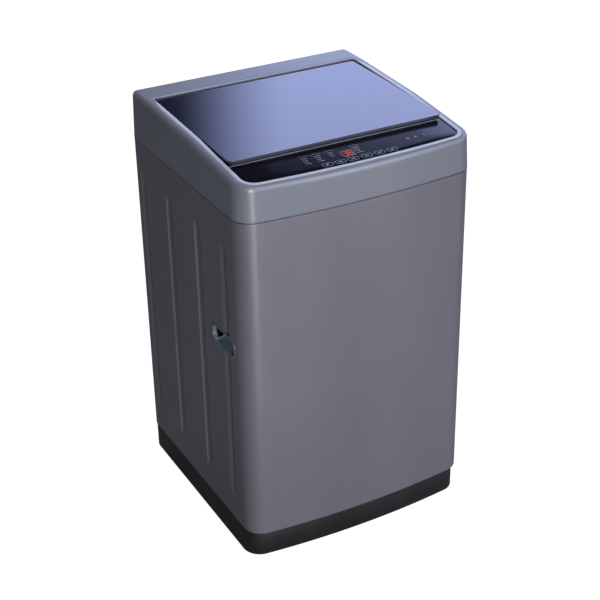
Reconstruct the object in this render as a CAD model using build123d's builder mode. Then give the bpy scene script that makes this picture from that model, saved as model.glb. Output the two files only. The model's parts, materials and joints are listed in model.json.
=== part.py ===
"""Top load washing machine: cabinet, lid, console, hanging tub, basket, drive and suspension.

Millimetres, +Z up, X to the right seen from the front, front faces -Y.
The origin is on the floor under the middle of the cabinet.
"""
from build123d import *
from math import atan2, degrees, hypot
import os

os.makedirs("parts", exist_ok=True)

# ---------------------------------------------------------------- driving dimensions
# Cabinet
width = 540.0
depth = 541.0
bow = 18.4
top_height = 926.0
half_width = width / 2
rear_y = depth / 2
front_y = -depth / 2
seam_height = top_height - 108.0
base_top = 76.0
base_bottom = 12.0
front_corner = 43.0
rear_corner = 16.0
sheet = 0.8
gap = 0.2

# Base
base_side_inset = 2.0
base_front_inset = 11.0
base_wall = 4.0
base_rail = 46.0
foot_x = half_width - 56.0
foot_y = rear_y - 70.5
foot_boss_radius = 22.0
foot_pad_radius = 20.0
foot_pad_edge = 2.0
foot_stem_radius = 5.0
foot_stem_clearance = 0.1
foot_pad_height = 10.0
foot_stem_top = 66.0
foot_travel_down = 10.0

# Side panels
rib_width = 25.0
rib_depth = 2.4
rib_low = base_top + 55.0
rib_high = seam_height - 68.0
rib_places = (0.4, 0.14307, -0.11571, -0.33383)
rib_fronts = [depth * share for share in rib_places]
handle_y = -0.28946 * depth
handle_z = 0.55994 * top_height
handle_length = 108.0
handle_height = 45.0
handle_corner_relief = 2.0
handle_lip = 1.2
handle_rim = 4.0
handle_cup_depth = 34.0
handle_wall = 2.5

# Rear panel
rear_window_margin = 30.0
rear_step = 3.0
rear_lip = 14.0
rear_panel_clearance = 0.5
panel_field_side = 55.0
panel_field_end = 130.0
panel_field_corner = 20.0
panel_bead = 10.0
screw_radius = 2.1
screw_head_radius = 4.2
screw_head_height = 1.8
screw_end_distance = 44.0
gland_radius = 9.0
gland_bore = 4.0
gland_flange = 4.0
gland_flange_thickness = 1.4
gland_reach = 12.0
gland_x = half_width - 100.0
gland_z = seam_height - 78.0

# Top frame
band_taper = 2.4
frame_wall = 3.0
rim_level_end = rear_y - 80.5
rim_bend_y = rear_y - 310.5
rim_bend_z = top_height - 10.2
rim_front_z = top_height - 33.4
rim_blend = 500.0
recess_half = half_width - 25.0
recess_rear = rear_y - 74.0
recess_front = front_y + 30.5
recess_bow = 10.0
recess_front_corner = 28.0
recess_rear_corner = 8.0
recess_floor = top_height - 44.0
neck_half = recess_half - 55.0
neck_rear = recess_rear - 18.5
neck_corner = 120.0
neck_bottom = top_height - 114.0
register_depth = 10.0

# Console
console_rear = recess_front + 78.4
console_rear_z = top_height - 24.7
console_slope = 0.105
console_gap = 0.4
neck_front = console_rear + 5.6
display_x = -6.0
display_y = recess_front + 31.0
display_width = 34.0
display_depth = 24.0
display_cover = 2.0
trim_width = 1.4
trim_height = 0.5

# Control board: (x, width, depth, height) of each block, then the round capacitor
board_half = recess_half - 99.0
board_front = recess_front
board_rear = recess_front + 70.0
board_post = 20.0
board_post_radius = 3.0
board_post_inset = 7.0
board_thickness = 1.6
board_blocks = ((-90.0, 34.0, 28.0, 12.0), (20.0, 18.0, 18.0, 3.0))
board_capacitor_x = 95.0
board_capacitor_radius = 7.0
board_capacitor_height = 14.0

# Lid
lid_width = 2 * recess_half - 4.0
lid_rear = recess_rear - 4.1
lid_length = lid_rear - console_rear + 4.0
lid_rear_z = top_height - 4.0
lid_slope = 0.0251
lid_corner = 9.0
glass_thickness = 4.5
lid_frame_inset = 3.0
lid_frame_front_inset = 6.0
lid_frame_height = 11.0
lid_frame_bar = 30.0
hinge_y = lid_rear - 12.4
hinge_z = lid_rear_z - 8.5
hinge_pin_radius = 3.0
running_clearance = 0.05
hinge_pin_end = recess_half + 2.6
bumper_radius = 7.0
bumper_edge = 1.5
bumper_x = recess_half - 30.0
bumper_y = console_rear + 14.6
switch_x = recess_half - 35.0
switch_size = (36.0, 18.0, 24.0)

# Detergent drawer
drawer_width = 2 * (neck_half - neck_corner) - 20.0
drawer_middle = 0.0
drawer_high = recess_floor - 11.0
drawer_low = drawer_high - 43.0
drawer_rear = rear_y - 12.5
drawer_wall = 2.5
drawer_clearance = 1.5
drawer_lip = 6.0

# Water inlet
inlet_x = drawer_middle + drawer_width / 2 + 50.0
inlet_z = top_height - 64.0
inlet_thread_radius = 13.2
inlet_collar_radius = 15.0
inlet_bore_radius = 8.0
inlet_length = 18.0
pocket_width = 72.0
pocket_height = 62.0
pocket_depth = 27.0
valve_body = (38.0, 30.0, 34.0)
valve_coil = (26.0, 24.0, 30.0)
valve_coil_offset = 30.0
valve_coil_setback = 4.0

# Water level sensor
sensor_x = recess_half - 30.0
sensor_y = recess_rear + 38.0
sensor_low = recess_floor - 40.0
sensor_radius = 24.0
sensor_height = 16.0
sensor_pipe_radius = 4.0
sensor_pipe_length = 30.0

# Tub
tub_inner = min(half_width, rear_y) - 35.0
tub_wall = 3.0
tub_bottom = 200.0
tub_top = neck_bottom - 27.0
tub_flange = 8.0
cover_inner = tub_inner - 45.0
cover_height = 12.0

# Basket
basket_radius = tub_inner - 23.0
basket_sheet = 0.6
basket_top = tub_top - 45.0
basket_base_low = tub_bottom + 22.0
basket_base_height = 10.0
base_hole_radius = 5.0
base_hole_count = 12
ring_inner = basket_radius - 40.0
ring_outer = basket_radius + 4.0
ring_height = 37.0
ring_edge = 6.0
hole_rows = 6
hole_columns = 14
hole_radius = 3.0
filter_length = 190.0
filter_width = 70.0
filter_thickness = 14.0
filter_low = basket_base_low + 208.0
filter_turns = (20, 200)

# Pulsator
pulsator_radius = basket_radius - 57.0
pulsator_low = basket_base_low + 18.0
pulsator_thickness = 7.0
pulsator_edge = 6.0
pulsator_rim = 5.0
pulsator_slope_end = 60.0
pulsator_hub_radius = 30.0
pulsator_hub_height = 12.0
blade_count = 6
blade_start = 20.0
blade_width = 9.0
blade_height = 24.0
cap_radius = 24.0
cap_height = 8.0
cap_edge = 4.0

# Shafts and clutch
shaft_radius = 8.0
spin_shaft_radius = 15.0
shaft_bottom = 92.0
spin_shaft_bottom = 122.0
hub_radius = 90.0
hub_thickness = 8.0
clutch_radius = 52.0
clutch_flange_radius = 75.0
clutch_flange_thickness = 6.0
plate_thickness = 3.0
plate_margin = 20.0
plate_corner = 12.0
plate_hole_clearance = 2.0

# Motor and belt
motor_radius = 58.0
motor_x = clutch_radius + motor_radius + 25.0
motor_low = 118.0
motor_high = 188.0
motor_shaft_radius = 6.0
motor_bearing_depth = 20.0
motor_shaft_insertion = 18.0
motor_post_radius = 5.0
motor_post_spread = 1.2
pulley_low = 98.0
pulley_height = 14.0
pulley_groove_flare = 2.0
driven_pulley_radius = 70.0
motor_pulley_radius = 25.0
belt_width = 8.0
belt_thickness = 4.0
belt_clearance = 0.5
capacitor_x = -124.0
capacitor_radius = 18.0
capacitor_length = 58.0
capacitor_edge = 4.0

# Drain
valve_x = -96.0
valve_radius = 26.0
valve_low = 144.0
valve_outlet_radius = 14.0
valve_outlet_bore = 11.0
valve_outlet_length = 22.0
pull_y = 79.0 - tub_inner
pull_z = 172.0
pull_radius = 3.0
pull_clearance = 0.3
actuator_x = 34.0
actuator_length = 60.0
actuator_depth = 44.0
actuator_floor = 14.0
actuator_bore = 42.0
collar_x = -34.0
collar_radius = 8.0
collar_width = 4.0
lever_y = -82.0
lever_width = 14.0
lever_thickness = 3.0
lever_gap = 0.5
lever_end_gap = 6.0
lever_pin_radius = 3.0
spout_x = 105.0 - half_width
spout_z = (base_top + base_bottom) / 2
spout_radius = 15.0
spout_bore = 12.0
spout_length = 54.0
spout_collar = 2.0
spout_flange = 7.0
spout_pocket = 54.0
spout_pocket_depth = 38.0

# Suspension
rod_x = half_width - 45.0
rod_y = rear_y - 62.5
rod_radius = 3.5
bracket_top = seam_height - 38.0
bracket_thickness = 3.0
bracket_reach = 78.0
bracket_hole = 6.0
ball_radius = 9.0
seat_low = tub_bottom + 58.0
seat_height = 6.0
seat_radius = 18.0
lug_low = tub_bottom + 126.0
lug_height = 15.0
lug_radius = 20.0
lug_hole = 6.5
coil_radius = 13.0
wire_radius = 2.0
coil_turns = 5

# ---------------------------------------------------------------- derived places
side_front_y = front_y + bow
console_front_z = console_rear_z - console_slope * (console_rear - recess_front)
panel_y = rear_y - rear_step
drawer_front = neck_rear - gap
plate_low = tub_bottom - plate_thickness
corners = {
    "front_left": (-rod_x, -rod_y),
    "front_right": (rod_x, -rod_y),
    "rear_left": (-rod_x, rod_y),
    "rear_right": (rod_x, rod_y),
}
upright = (Align.CENTER, Align.CENTER, Align.MIN)
hanging = (Align.CENTER, Align.CENTER, Align.MAX)


# ---------------------------------------------------------------- shared outlines
def footprint(inset=0.0, front_inset=None):
    """Plan of the machine moved in by inset: straight back and sides, bowed front."""
    side = half_width - inset
    rear = rear_y - inset
    front = side_front_y + (inset if front_inset is None else front_inset)
    with BuildSketch() as outline:
        with BuildLine():
            Polyline((side, front), (side, rear), (-side, rear), (-side, front))
            ThreePointArc((-side, front), (0, front - bow), (side, front))
        make_face()
        fillet(outline.vertices().group_by(Axis.Y)[-1], rear_corner - inset)
        fillet(outline.vertices().group_by(Axis.Y)[0], front_corner - inset)
    return outline.sketch


def recess(inset=0.0):
    """Plan of the well that the lid and the console lie in, moved in by inset."""
    side = recess_half - inset
    rear = recess_rear - inset
    front = recess_front + inset
    with BuildSketch() as outline:
        with BuildLine():
            Polyline((side, front), (side, rear), (-side, rear), (-side, front))
            ThreePointArc((-side, front), (0, front - recess_bow), (side, front))
        make_face()
        fillet(outline.vertices().group_by(Axis.Y)[-1], recess_rear_corner - inset)
        fillet(outline.vertices().group_by(Axis.Y)[0], recess_front_corner - inset)
    return outline.sketch


def neck(outset=0.0):
    """Plan of the loading opening, moved out by outset."""
    with BuildSketch() as outline:
        with Locations((0, (neck_rear + neck_front) / 2)):
            RectangleRounded(
                2 * (neck_half + outset),
                neck_rear - neck_front + 2 * outset,
                neck_corner + outset,
            )
    return outline.sketch


def above_rim(drop=0.0):
    """Side view of all that lies above the rim line, lowered by drop."""
    ceiling = top_height + width
    with BuildSketch() as outline:
        with BuildLine():
            Polyline(
                (rear_y + width, top_height - drop),
                (rim_level_end, top_height - drop),
                (rim_bend_y, rim_bend_z - drop),
                (front_y, rim_front_z - drop),
                (front_y, ceiling),
                (rear_y + width, ceiling),
                close=True,
            )
        make_face()
        bends = outline.vertices().filter_by(lambda v: front_y < v.X <= rim_level_end)
        fillet(bends, rim_blend)
    return outline.sketch


def ring_of(outer, inner):
    """Flat ring between two radii."""
    with BuildSketch() as outline:
        Circle(outer)
        Circle(inner, mode=Mode.SUBTRACT)
    return outline.sketch


# ---------------------------------------------------------------- base and feet
foot_places = {
    "front_left": (-foot_x, -foot_y),
    "front_right": (foot_x, -foot_y),
    "rear_left": (-foot_x, foot_y),
    "rear_right": (foot_x, foot_y),
}

with BuildPart() as base_plinth:
    with BuildSketch(Plane.XY.offset(base_bottom)):
        add(footprint(base_side_inset, base_front_inset))
        add(footprint(base_side_inset + base_wall, base_front_inset + base_wall), mode=Mode.SUBTRACT)
    extrude(amount=base_top - base_bottom)
    # Shelf that the cabinet and the corner bosses stand on
    with BuildSketch(Plane.XY.offset(base_top - base_wall)):
        add(footprint(base_side_inset, base_front_inset))
        Rectangle(2 * (half_width - base_rail), 2 * (rear_y - base_rail), mode=Mode.SUBTRACT)
    extrude(amount=base_wall)
    # Foot bosses
    with BuildSketch(Plane.XY.offset(base_bottom)):
        with Locations(*foot_places.values()):
            Circle(foot_boss_radius)
    extrude(amount=base_top - base_bottom)
    with Locations(*[(x, y, base_bottom) for x, y in foot_places.values()]):
        Cylinder(
            foot_stem_radius + foot_stem_clearance,
            foot_stem_top - base_bottom + foot_travel_down,
            align=upright,
            mode=Mode.SUBTRACT,
        )
    # Pocket in the back for the drain hose
    with Locations((spout_x, rear_y - base_side_inset, spout_z)):
        Box(
            spout_pocket + 2 * base_wall,
            spout_pocket_depth + base_wall,
            base_top - base_bottom - 2 * gap,
            align=(Align.CENTER, Align.MAX, Align.CENTER),
        )
        Box(
            spout_pocket,
            2 * spout_pocket_depth,
            spout_pocket,
            mode=Mode.SUBTRACT,
        )
        Cylinder(spout_radius + spout_collar + gap, depth / 2, rotation=(90, 0, 0), mode=Mode.SUBTRACT)
base_plinth.part.label = "base_plinth"
export_step(base_plinth.part, "parts/base_plinth.step")

for place, (x, y) in foot_places.items():
    pad_height = foot_pad_height if y < 0 else base_bottom
    with BuildPart() as foot:
        with Locations((x, y, 0)):
            Cylinder(foot_pad_radius, pad_height, align=upright)
        fillet(foot.edges().group_by(Axis.Z)[0], foot_pad_edge)
        with Locations((x, y, 0)):
            Cylinder(foot_stem_radius, foot_stem_top, align=upright)
    foot.part.label = f"foot_{place}"
    export_step(foot.part, f"parts/foot_{place}.step")

# ---------------------------------------------------------------- cabinet sheet
rear_window_half = half_width - rear_window_margin
cabinet_height = seam_height - base_top

with BuildPart() as cabinet_wrap:
    with BuildSketch(Plane.XY.offset(base_top)):
        add(footprint())
        add(footprint(sheet), mode=Mode.SUBTRACT)
        with Locations((0, rear_y)):
            Rectangle(2 * rear_window_half, 4 * sheet, mode=Mode.SUBTRACT)
    extrude(amount=cabinet_height)
    # Joggled lips behind the rear panel
    for side in (-1, 1):
        with BuildSketch(Plane.XY.offset(base_top)):
            with BuildLine():
                Polyline(
                    (side * (rear_window_half + sheet), rear_y),
                    (side * (rear_window_half + sheet), panel_y - sheet),
                    (side * (rear_window_half - rear_lip), panel_y - sheet),
                    (side * (rear_window_half - rear_lip), panel_y),
                    (side * rear_window_half, panel_y),
                    (side * rear_window_half, rear_y),
                    close=True,
                )
            make_face()
        extrude(amount=cabinet_height)
    # Return flange that stands on the base
    with BuildSketch(Plane.XY.offset(base_top)):
        add(footprint())
        add(footprint(rear_lip), mode=Mode.SUBTRACT)
        with Locations((0, rear_y)):
            Rectangle(width, 4 * rear_lip, mode=Mode.SUBTRACT)
    extrude(amount=sheet)
    # Pressed vertical channels in both sides
    for side in (-1, 1):
        for rib_front in rib_fronts:
            rib_y = rib_front + rib_width / 2
            rib_z = (rib_low + rib_high) / 2
            with Locations((side * (half_width - (rib_depth + sheet) / 2), rib_y, rib_z)):
                Box(rib_depth + sheet, rib_width + 2 * sheet, rib_high - rib_low + 2 * sheet)
            with Locations((side * (half_width - rib_depth / 2), rib_y, rib_z)):
                Box(rib_depth, rib_width, rib_high - rib_low, mode=Mode.SUBTRACT)
    # Openings for the hand grips
    with BuildSketch(Plane.YZ):
        with Locations((handle_y, handle_z)):
            RectangleRounded(
                handle_length - 2 * handle_rim + 2 * gap,
                handle_height - 2 * handle_rim + 2 * gap,
                handle_height / 2 - handle_rim,
            )
    extrude(amount=width, both=True, mode=Mode.SUBTRACT)
cabinet_wrap.part.label = "cabinet_wrap"
export_step(cabinet_wrap.part, "parts/cabinet_wrap.step")

# ---------------------------------------------------------------- hand grips
for side_name, side in (("left", -1), ("right", 1)):
    outward = Plane(origin=(side * half_width, handle_y, handle_z), x_dir=(0, 1, 0), z_dir=(side, 0, 0))
    with BuildPart() as side_grip:
        with BuildSketch(outward):
            RectangleRounded(handle_length, handle_height, handle_height / 2 - handle_corner_relief)
        extrude(amount=handle_lip)
        with BuildSketch(outward):
            RectangleRounded(
                handle_length - 2 * handle_rim,
                handle_height - 2 * handle_rim,
                handle_height / 2 - handle_rim - gap,
            )
        extrude(amount=-handle_cup_depth)
        with BuildSketch(outward.offset(handle_lip)):
            RectangleRounded(
                handle_length - 2 * handle_rim - 2 * handle_wall,
                handle_height - 2 * handle_rim - 2 * handle_wall,
                handle_height / 2 - handle_rim - handle_wall - gap,
            )
        extrude(amount=handle_wall - handle_cup_depth - handle_lip, mode=Mode.SUBTRACT)
    side_grip.part.label = f"side_grip_{side_name}"
    export_step(side_grip.part, f"parts/side_grip_{side_name}.step")

# ---------------------------------------------------------------- rear panel and screws
panel_half = rear_window_half - rear_panel_clearance
screw_x = rear_window_half - rear_lip / 2
screw_middle = (base_top + seam_height) / 2
screw_heights = (base_top + screw_end_distance, screw_middle, seam_height - screw_end_distance)
screw_places = [(side * screw_x, z) for side in (-1, 1) for z in screw_heights]
field_width = 2 * (panel_half - panel_field_side)
field_height = cabinet_height - 2 * panel_field_end

with BuildPart() as rear_panel:
    with BuildSketch(Plane.XZ.offset(-panel_y)):
        with Locations((0, (base_top + seam_height) / 2)):
            Rectangle(2 * panel_half, cabinet_height - 2 * rear_panel_clearance)
        with Locations((gland_x, gland_z)):
            Circle(gland_radius + gap, mode=Mode.SUBTRACT)
        with Locations(*screw_places):
            Circle(screw_radius + gap, mode=Mode.SUBTRACT)
    extrude(amount=-sheet)
    # Raised field that stiffens the panel
    with BuildSketch(Plane.XZ.offset(-panel_y)):
        with Locations((0, (base_top + seam_height) / 2)):
            RectangleRounded(field_width, field_height, panel_field_corner)
            RectangleRounded(
                field_width - 2 * panel_bead,
                field_height - 2 * panel_bead,
                panel_field_corner - panel_bead,
                mode=Mode.SUBTRACT,
            )
    extrude(amount=-2 * sheet)
rear_panel.part.label = "rear_panel"
export_step(rear_panel.part, "parts/rear_panel.step")

with BuildPart() as rear_screws:
    for outline_radius, length in ((screw_head_radius, -screw_head_height), (screw_radius, sheet)):
        with BuildSketch(Plane.XZ.offset(-(panel_y + sheet))):
            with Locations(*screw_places):
                Circle(outline_radius)
        extrude(amount=length)
rear_screws.part.label = "rear_screws"
export_step(rear_screws.part, "parts/rear_screws.step")

with BuildPart() as cord_gland:
    with BuildSketch(Plane.XZ.offset(-panel_y)):
        with Locations((gland_x, gland_z)):
            Circle(gland_radius)
    extrude(amount=-rear_step + gap)
    extrude(cord_gland.faces().sort_by(Axis.Y)[0], amount=gland_reach)
    with BuildSketch(Plane.XZ.offset(-(panel_y + sheet))):
        with Locations((gland_x, gland_z)):
            Circle(gland_radius + gland_flange)
    extrude(amount=-gland_flange_thickness)
    with Locations(Location((gland_x, panel_y, gland_z), (90, 0, 0))):
        Cylinder(gland_bore, 4 * gland_reach, mode=Mode.SUBTRACT)
cord_gland.part.label = "cord_gland"
export_step(cord_gland.part, "parts/cord_gland.step")

# ---------------------------------------------------------------- top frame
pocket_floor = rear_y - pocket_depth

with BuildPart() as frame_hollow:
    with BuildSketch(Plane.XY.offset(seam_height)):
        add(footprint(frame_wall))
    extrude(amount=top_height - seam_height, taper=band_taper)
    with BuildSketch(Plane.YZ):
        add(above_rim(frame_wall))
    extrude(amount=width, both=True, mode=Mode.SUBTRACT)
    with BuildSketch(Plane.XY.offset(recess_floor - frame_wall)):
        add(recess(-frame_wall))
    extrude(amount=top_height, mode=Mode.SUBTRACT)
    # Walls of the water inlet's pocket stay solid
    with Locations((inlet_x, pocket_floor - frame_wall, inlet_z)):
        Box(
            pocket_width + 2 * frame_wall,
            2 * pocket_depth,
            pocket_height + 2 * frame_wall,
            align=(Align.CENTER, Align.MIN, Align.CENTER),
            mode=Mode.SUBTRACT,
        )

with BuildPart() as top_frame:
    with BuildSketch(Plane.XY.offset(seam_height)):
        add(footprint())
    extrude(amount=top_height - seam_height, taper=band_taper)
    with BuildSketch(Plane.YZ):
        add(above_rim())
    extrude(amount=width, both=True, mode=Mode.SUBTRACT)
    with BuildSketch(Plane.XY.offset(recess_floor)):
        add(recess())
    extrude(amount=top_height, mode=Mode.SUBTRACT)
    add(frame_hollow.part, mode=Mode.SUBTRACT)
    # Register lip inside the cabinet sheet
    with BuildSketch(Plane.XY.offset(seam_height - register_depth)):
        add(footprint(sheet + rear_step))
        add(footprint(sheet + rear_step + frame_wall), mode=Mode.SUBTRACT)
    extrude(amount=register_depth)
    with BuildSketch(Plane.XY.offset(seam_height)):
        add(footprint(frame_wall / 2))
        add(footprint(sheet + rear_step + frame_wall), mode=Mode.SUBTRACT)
    extrude(amount=frame_wall)
    # Loading neck
    with BuildSketch(Plane.XY.offset(neck_bottom)):
        add(neck(frame_wall))
    extrude(amount=recess_floor - neck_bottom)
    with BuildSketch(Plane.XY.offset(neck_bottom)):
        add(neck())
    extrude(amount=top_height, mode=Mode.SUBTRACT)
    # Window for the detergent drawer
    with Locations((drawer_middle, neck_rear, (drawer_low + drawer_high) / 2)):
        Box(
            drawer_width + 2 * drawer_clearance,
            6 * frame_wall,
            drawer_high - drawer_low + 2 * drawer_clearance,
            mode=Mode.SUBTRACT,
        )
    # Pocket for the water inlet
    with Locations((inlet_x, pocket_floor, inlet_z)):
        Box(
            pocket_width,
            2 * pocket_depth,
            pocket_height,
            align=(Align.CENTER, Align.MIN, Align.CENTER),
            mode=Mode.SUBTRACT,
        )
    with Locations(Location((inlet_x, pocket_floor, inlet_z), (90, 0, 0))):
        Cylinder(inlet_collar_radius + gap, 4 * frame_wall, mode=Mode.SUBTRACT)
    # Hinge holes
    with Locations(Location((0, hinge_y, hinge_z), (0, 90, 0))):
        Cylinder(
            hinge_pin_radius + running_clearance,
            2 * (recess_half + 2 * frame_wall),
            mode=Mode.SUBTRACT,
        )
top_frame.part.label = "top_frame"
export_step(top_frame.part, "parts/top_frame.step")

# ---------------------------------------------------------------- console
console_plane = Plane(origin=(0, console_rear, console_rear_z), x_dir=(1, 0, 0), z_dir=(0, -console_slope, 1))

with BuildPart() as control_panel:
    with BuildSketch(Plane.XY.offset(recess_floor)):
        add(recess(console_gap))
        with Locations((0, console_rear)):
            Rectangle(width, depth, align=(Align.CENTER, Align.MIN), mode=Mode.SUBTRACT)
    extrude(amount=console_rear_z - recess_floor)
    split(bisect_by=console_plane, keep=Keep.BOTTOM)
    with Locations((display_x, display_y, recess_floor)):
        Box(
            display_width + 2 * gap,
            display_depth + 2 * gap,
            2 * (console_front_z - recess_floor - display_cover + gap),
            mode=Mode.SUBTRACT,
        )
control_panel.part.label = "control_panel"
export_step(control_panel.part, "parts/control_panel.step")

with BuildPart() as display_module:
    with Locations((display_x, display_y, recess_floor)):
        Box(
            display_width,
            display_depth,
            console_front_z - recess_floor - display_cover,
            align=upright,
        )
display_module.part.label = "display_module"
export_step(display_module.part, "parts/display_module.step")

with BuildPart() as trim_strip:
    with BuildSketch(Plane.YZ):
        with Locations((console_rear, recess_floor)):
            Rectangle(
                trim_width,
                console_rear_z + trim_height - recess_floor,
                align=(Align.MIN, Align.MIN),
            )
    extrude(amount=recess_half - console_gap, both=True)
trim_strip.part.label = "trim_strip"
export_step(trim_strip.part, "parts/trim_strip.step")

board_y = (board_front + board_rear) / 2
board_low = recess_floor - frame_wall - board_post
board_top = board_low + board_thickness

with BuildPart() as control_board:
    with Locations((0, board_y, board_low)):
        Box(2 * board_half, board_rear - board_front, board_thickness, align=upright)
    # Relay, processor and smoothing capacitor
    for block_x, block_width, block_depth, block_height in board_blocks:
        with Locations((block_x, board_y, board_top)):
            Box(block_width, block_depth, block_height, align=upright)
    with Locations((board_capacitor_x, board_y, board_top)):
        Cylinder(board_capacitor_radius, board_capacitor_height, align=upright)
    # Posts that hang it from the frame
    with Locations((0, board_y, board_top)):
        with GridLocations(
            2 * (board_half - board_post_inset),
            board_rear - board_front - 2 * board_post_inset,
            2,
            2,
        ):
            Cylinder(board_post_radius, board_post - board_thickness, align=upright)
control_board.part.label = "control_board"
export_step(control_board.part, "parts/control_board.step")

# ---------------------------------------------------------------- lid
lid_plane = Plane(origin=(0, lid_rear, lid_rear_z), x_dir=(1, 0, 0), z_dir=(0, -lid_slope, 1))

with BuildPart() as lid_glass:
    with BuildSketch(lid_plane):
        with Locations((0, -lid_length / 2)):
            RectangleRounded(lid_width, lid_length, lid_corner)
    extrude(amount=-glass_thickness)
lid_glass.part.label = "lid_glass"
export_step(lid_glass.part, "parts/lid_glass.step")

with BuildPart() as lid_frame:
    frame_length = lid_length - lid_frame_inset - lid_frame_front_inset
    with BuildSketch(lid_plane.offset(-glass_thickness)):
        with Locations((0, -lid_frame_inset - frame_length / 2)):
            RectangleRounded(
                lid_width - 2 * lid_frame_inset,
                frame_length,
                lid_corner - lid_frame_inset,
            )
            RectangleRounded(
                lid_width - 2 * lid_frame_inset - 2 * lid_frame_bar,
                frame_length - 2 * lid_frame_bar,
                lid_corner,
                mode=Mode.SUBTRACT,
            )
    extrude(amount=-lid_frame_height)
    pin_root = lid_width / 2 - lid_frame_inset - lid_frame_bar / 2
    for side in (-1, 1):
        with Locations(Location((side * (pin_root + hinge_pin_end) / 2, hinge_y, hinge_z), (0, 90, 0))):
            Cylinder(hinge_pin_radius, hinge_pin_end - pin_root)
lid_frame.part.label = "lid_frame"
export_step(lid_frame.part, "parts/lid_frame.step")

bumper_rest = lid_rear_z - lid_slope * (lid_rear - bumper_y) - glass_thickness - lid_frame_height

with BuildPart() as lid_bumpers:
    with Locations((-bumper_x, bumper_y, recess_floor), (bumper_x, bumper_y, recess_floor)):
        Cylinder(bumper_radius, bumper_rest - recess_floor - 2 * gap, align=upright)
    chamfer(lid_bumpers.edges().group_by(Axis.Z)[-1], bumper_edge)
lid_bumpers.part.label = "lid_bumpers"
export_step(lid_bumpers.part, "parts/lid_bumpers.step")

with BuildPart() as lid_switch:
    with Locations((switch_x, recess_rear + frame_wall + gap, recess_floor)):
        Box(*switch_size, align=(Align.CENTER, Align.MIN, Align.MIN))
lid_switch.part.label = "lid_switch"
export_step(lid_switch.part, "parts/lid_switch.step")

# ---------------------------------------------------------------- water inlet
with BuildPart() as inlet_valve:
    with Locations(Location((inlet_x, pocket_floor, inlet_z), (-90, 0, 0))):
        Cylinder(inlet_thread_radius, inlet_length, align=upright)
    with Locations((inlet_x, pocket_floor - frame_wall, inlet_z)):
        Cylinder(inlet_collar_radius, frame_wall, rotation=(-90, 0, 0), align=upright)
    with Locations((inlet_x, pocket_floor - frame_wall, inlet_z)):
        Box(*valve_body, align=(Align.CENTER, Align.MAX, Align.CENTER))
    with Locations((inlet_x + valve_coil_offset, pocket_floor - frame_wall - valve_coil_setback, inlet_z)):
        Box(*valve_coil, align=(Align.CENTER, Align.MAX, Align.CENTER))
    with Locations(Location((inlet_x, pocket_floor + inlet_length, inlet_z), (90, 0, 0))):
        Cylinder(inlet_bore_radius, inlet_length + frame_wall, align=upright, mode=Mode.SUBTRACT)
inlet_valve.part.label = "inlet_valve"
export_step(inlet_valve.part, "parts/inlet_valve.step")

housing_low = drawer_low - drawer_clearance
housing_high = drawer_high + drawer_clearance
housing_front = neck_rear + frame_wall + gap

with BuildPart() as water_box:
    with Locations((drawer_middle, housing_front, housing_low - drawer_wall)):
        Box(
            drawer_width + 2 * drawer_clearance + 2 * drawer_wall,
            drawer_rear + drawer_clearance + drawer_wall - housing_front,
            housing_high - housing_low + 2 * drawer_wall,
            align=(Align.CENTER, Align.MIN, Align.MIN),
        )
    with Locations((drawer_middle, housing_front, housing_low)):
        Box(
            drawer_width + 2 * drawer_clearance,
            drawer_rear + drawer_clearance - housing_front,
            housing_high - housing_low,
            align=(Align.CENTER, Align.MIN, Align.MIN),
            mode=Mode.SUBTRACT,
        )
water_box.part.label = "water_box"
export_step(water_box.part, "parts/water_box.step")

with BuildPart() as detergent_drawer:
    with Locations((drawer_middle, drawer_front, drawer_low)):
        Box(
            drawer_width,
            drawer_rear - drawer_front,
            drawer_high - drawer_low - drawer_clearance,
            align=(Align.CENTER, Align.MIN, Align.MIN),
        )
    compartment = (drawer_width - 3 * drawer_wall) / 2
    for side in (-1, 1):
        compartment_x = drawer_middle + side * (compartment + drawer_wall) / 2
        with Locations((compartment_x, drawer_front + drawer_wall, drawer_low + drawer_wall)):
            Box(
                compartment,
                drawer_rear - drawer_front - 2 * drawer_wall,
                drawer_high,
                align=(Align.CENTER, Align.MIN, Align.MIN),
                mode=Mode.SUBTRACT,
            )
    with Locations((drawer_middle, drawer_front, drawer_high - drawer_lip)):
        Box(drawer_width / 2, drawer_lip, drawer_wall, align=(Align.CENTER, Align.MAX, Align.MIN))
detergent_drawer.part.label = "detergent_drawer"
export_step(detergent_drawer.part, "parts/detergent_drawer.step")

with BuildPart() as level_sensor:
    with Locations((sensor_x, sensor_y, sensor_low)):
        Cylinder(sensor_radius, sensor_height, align=upright)
        Cylinder(sensor_pipe_radius, sensor_pipe_length, align=hanging)
level_sensor.part.label = "level_sensor"
export_step(level_sensor.part, "parts/level_sensor.step")

# ---------------------------------------------------------------- drain spout
spout_end = rear_y - base_side_inset - base_wall
spout_flange_y = rear_y - base_side_inset - spout_pocket_depth - base_wall

with BuildPart() as drain_spout:
    with BuildSketch(Plane.XZ.offset(-spout_end)):
        with Locations((spout_x, spout_z)):
            Circle(spout_radius)
    extrude(amount=spout_length)
    with BuildSketch(Plane.XZ.offset(-spout_flange_y)):
        with Locations((spout_x, spout_z)):
            Circle(spout_radius + spout_flange)
    extrude(amount=frame_wall)
    with BuildSketch(Plane.XZ.offset(-spout_flange_y)):
        with Locations((spout_x, spout_z)):
            Circle(spout_radius + spout_collar)
    extrude(amount=-base_wall)
    with Locations(Location((spout_x, spout_end, spout_z), (90, 0, 0))):
        Cylinder(spout_bore, 3 * spout_length, mode=Mode.SUBTRACT)
drain_spout.part.label = "drain_spout"
export_step(drain_spout.part, "parts/drain_spout.step")

# ---------------------------------------------------------------- outer tub
tub_outer = tub_inner + tub_wall
seal_hole = spin_shaft_radius + 4 * gap

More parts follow.
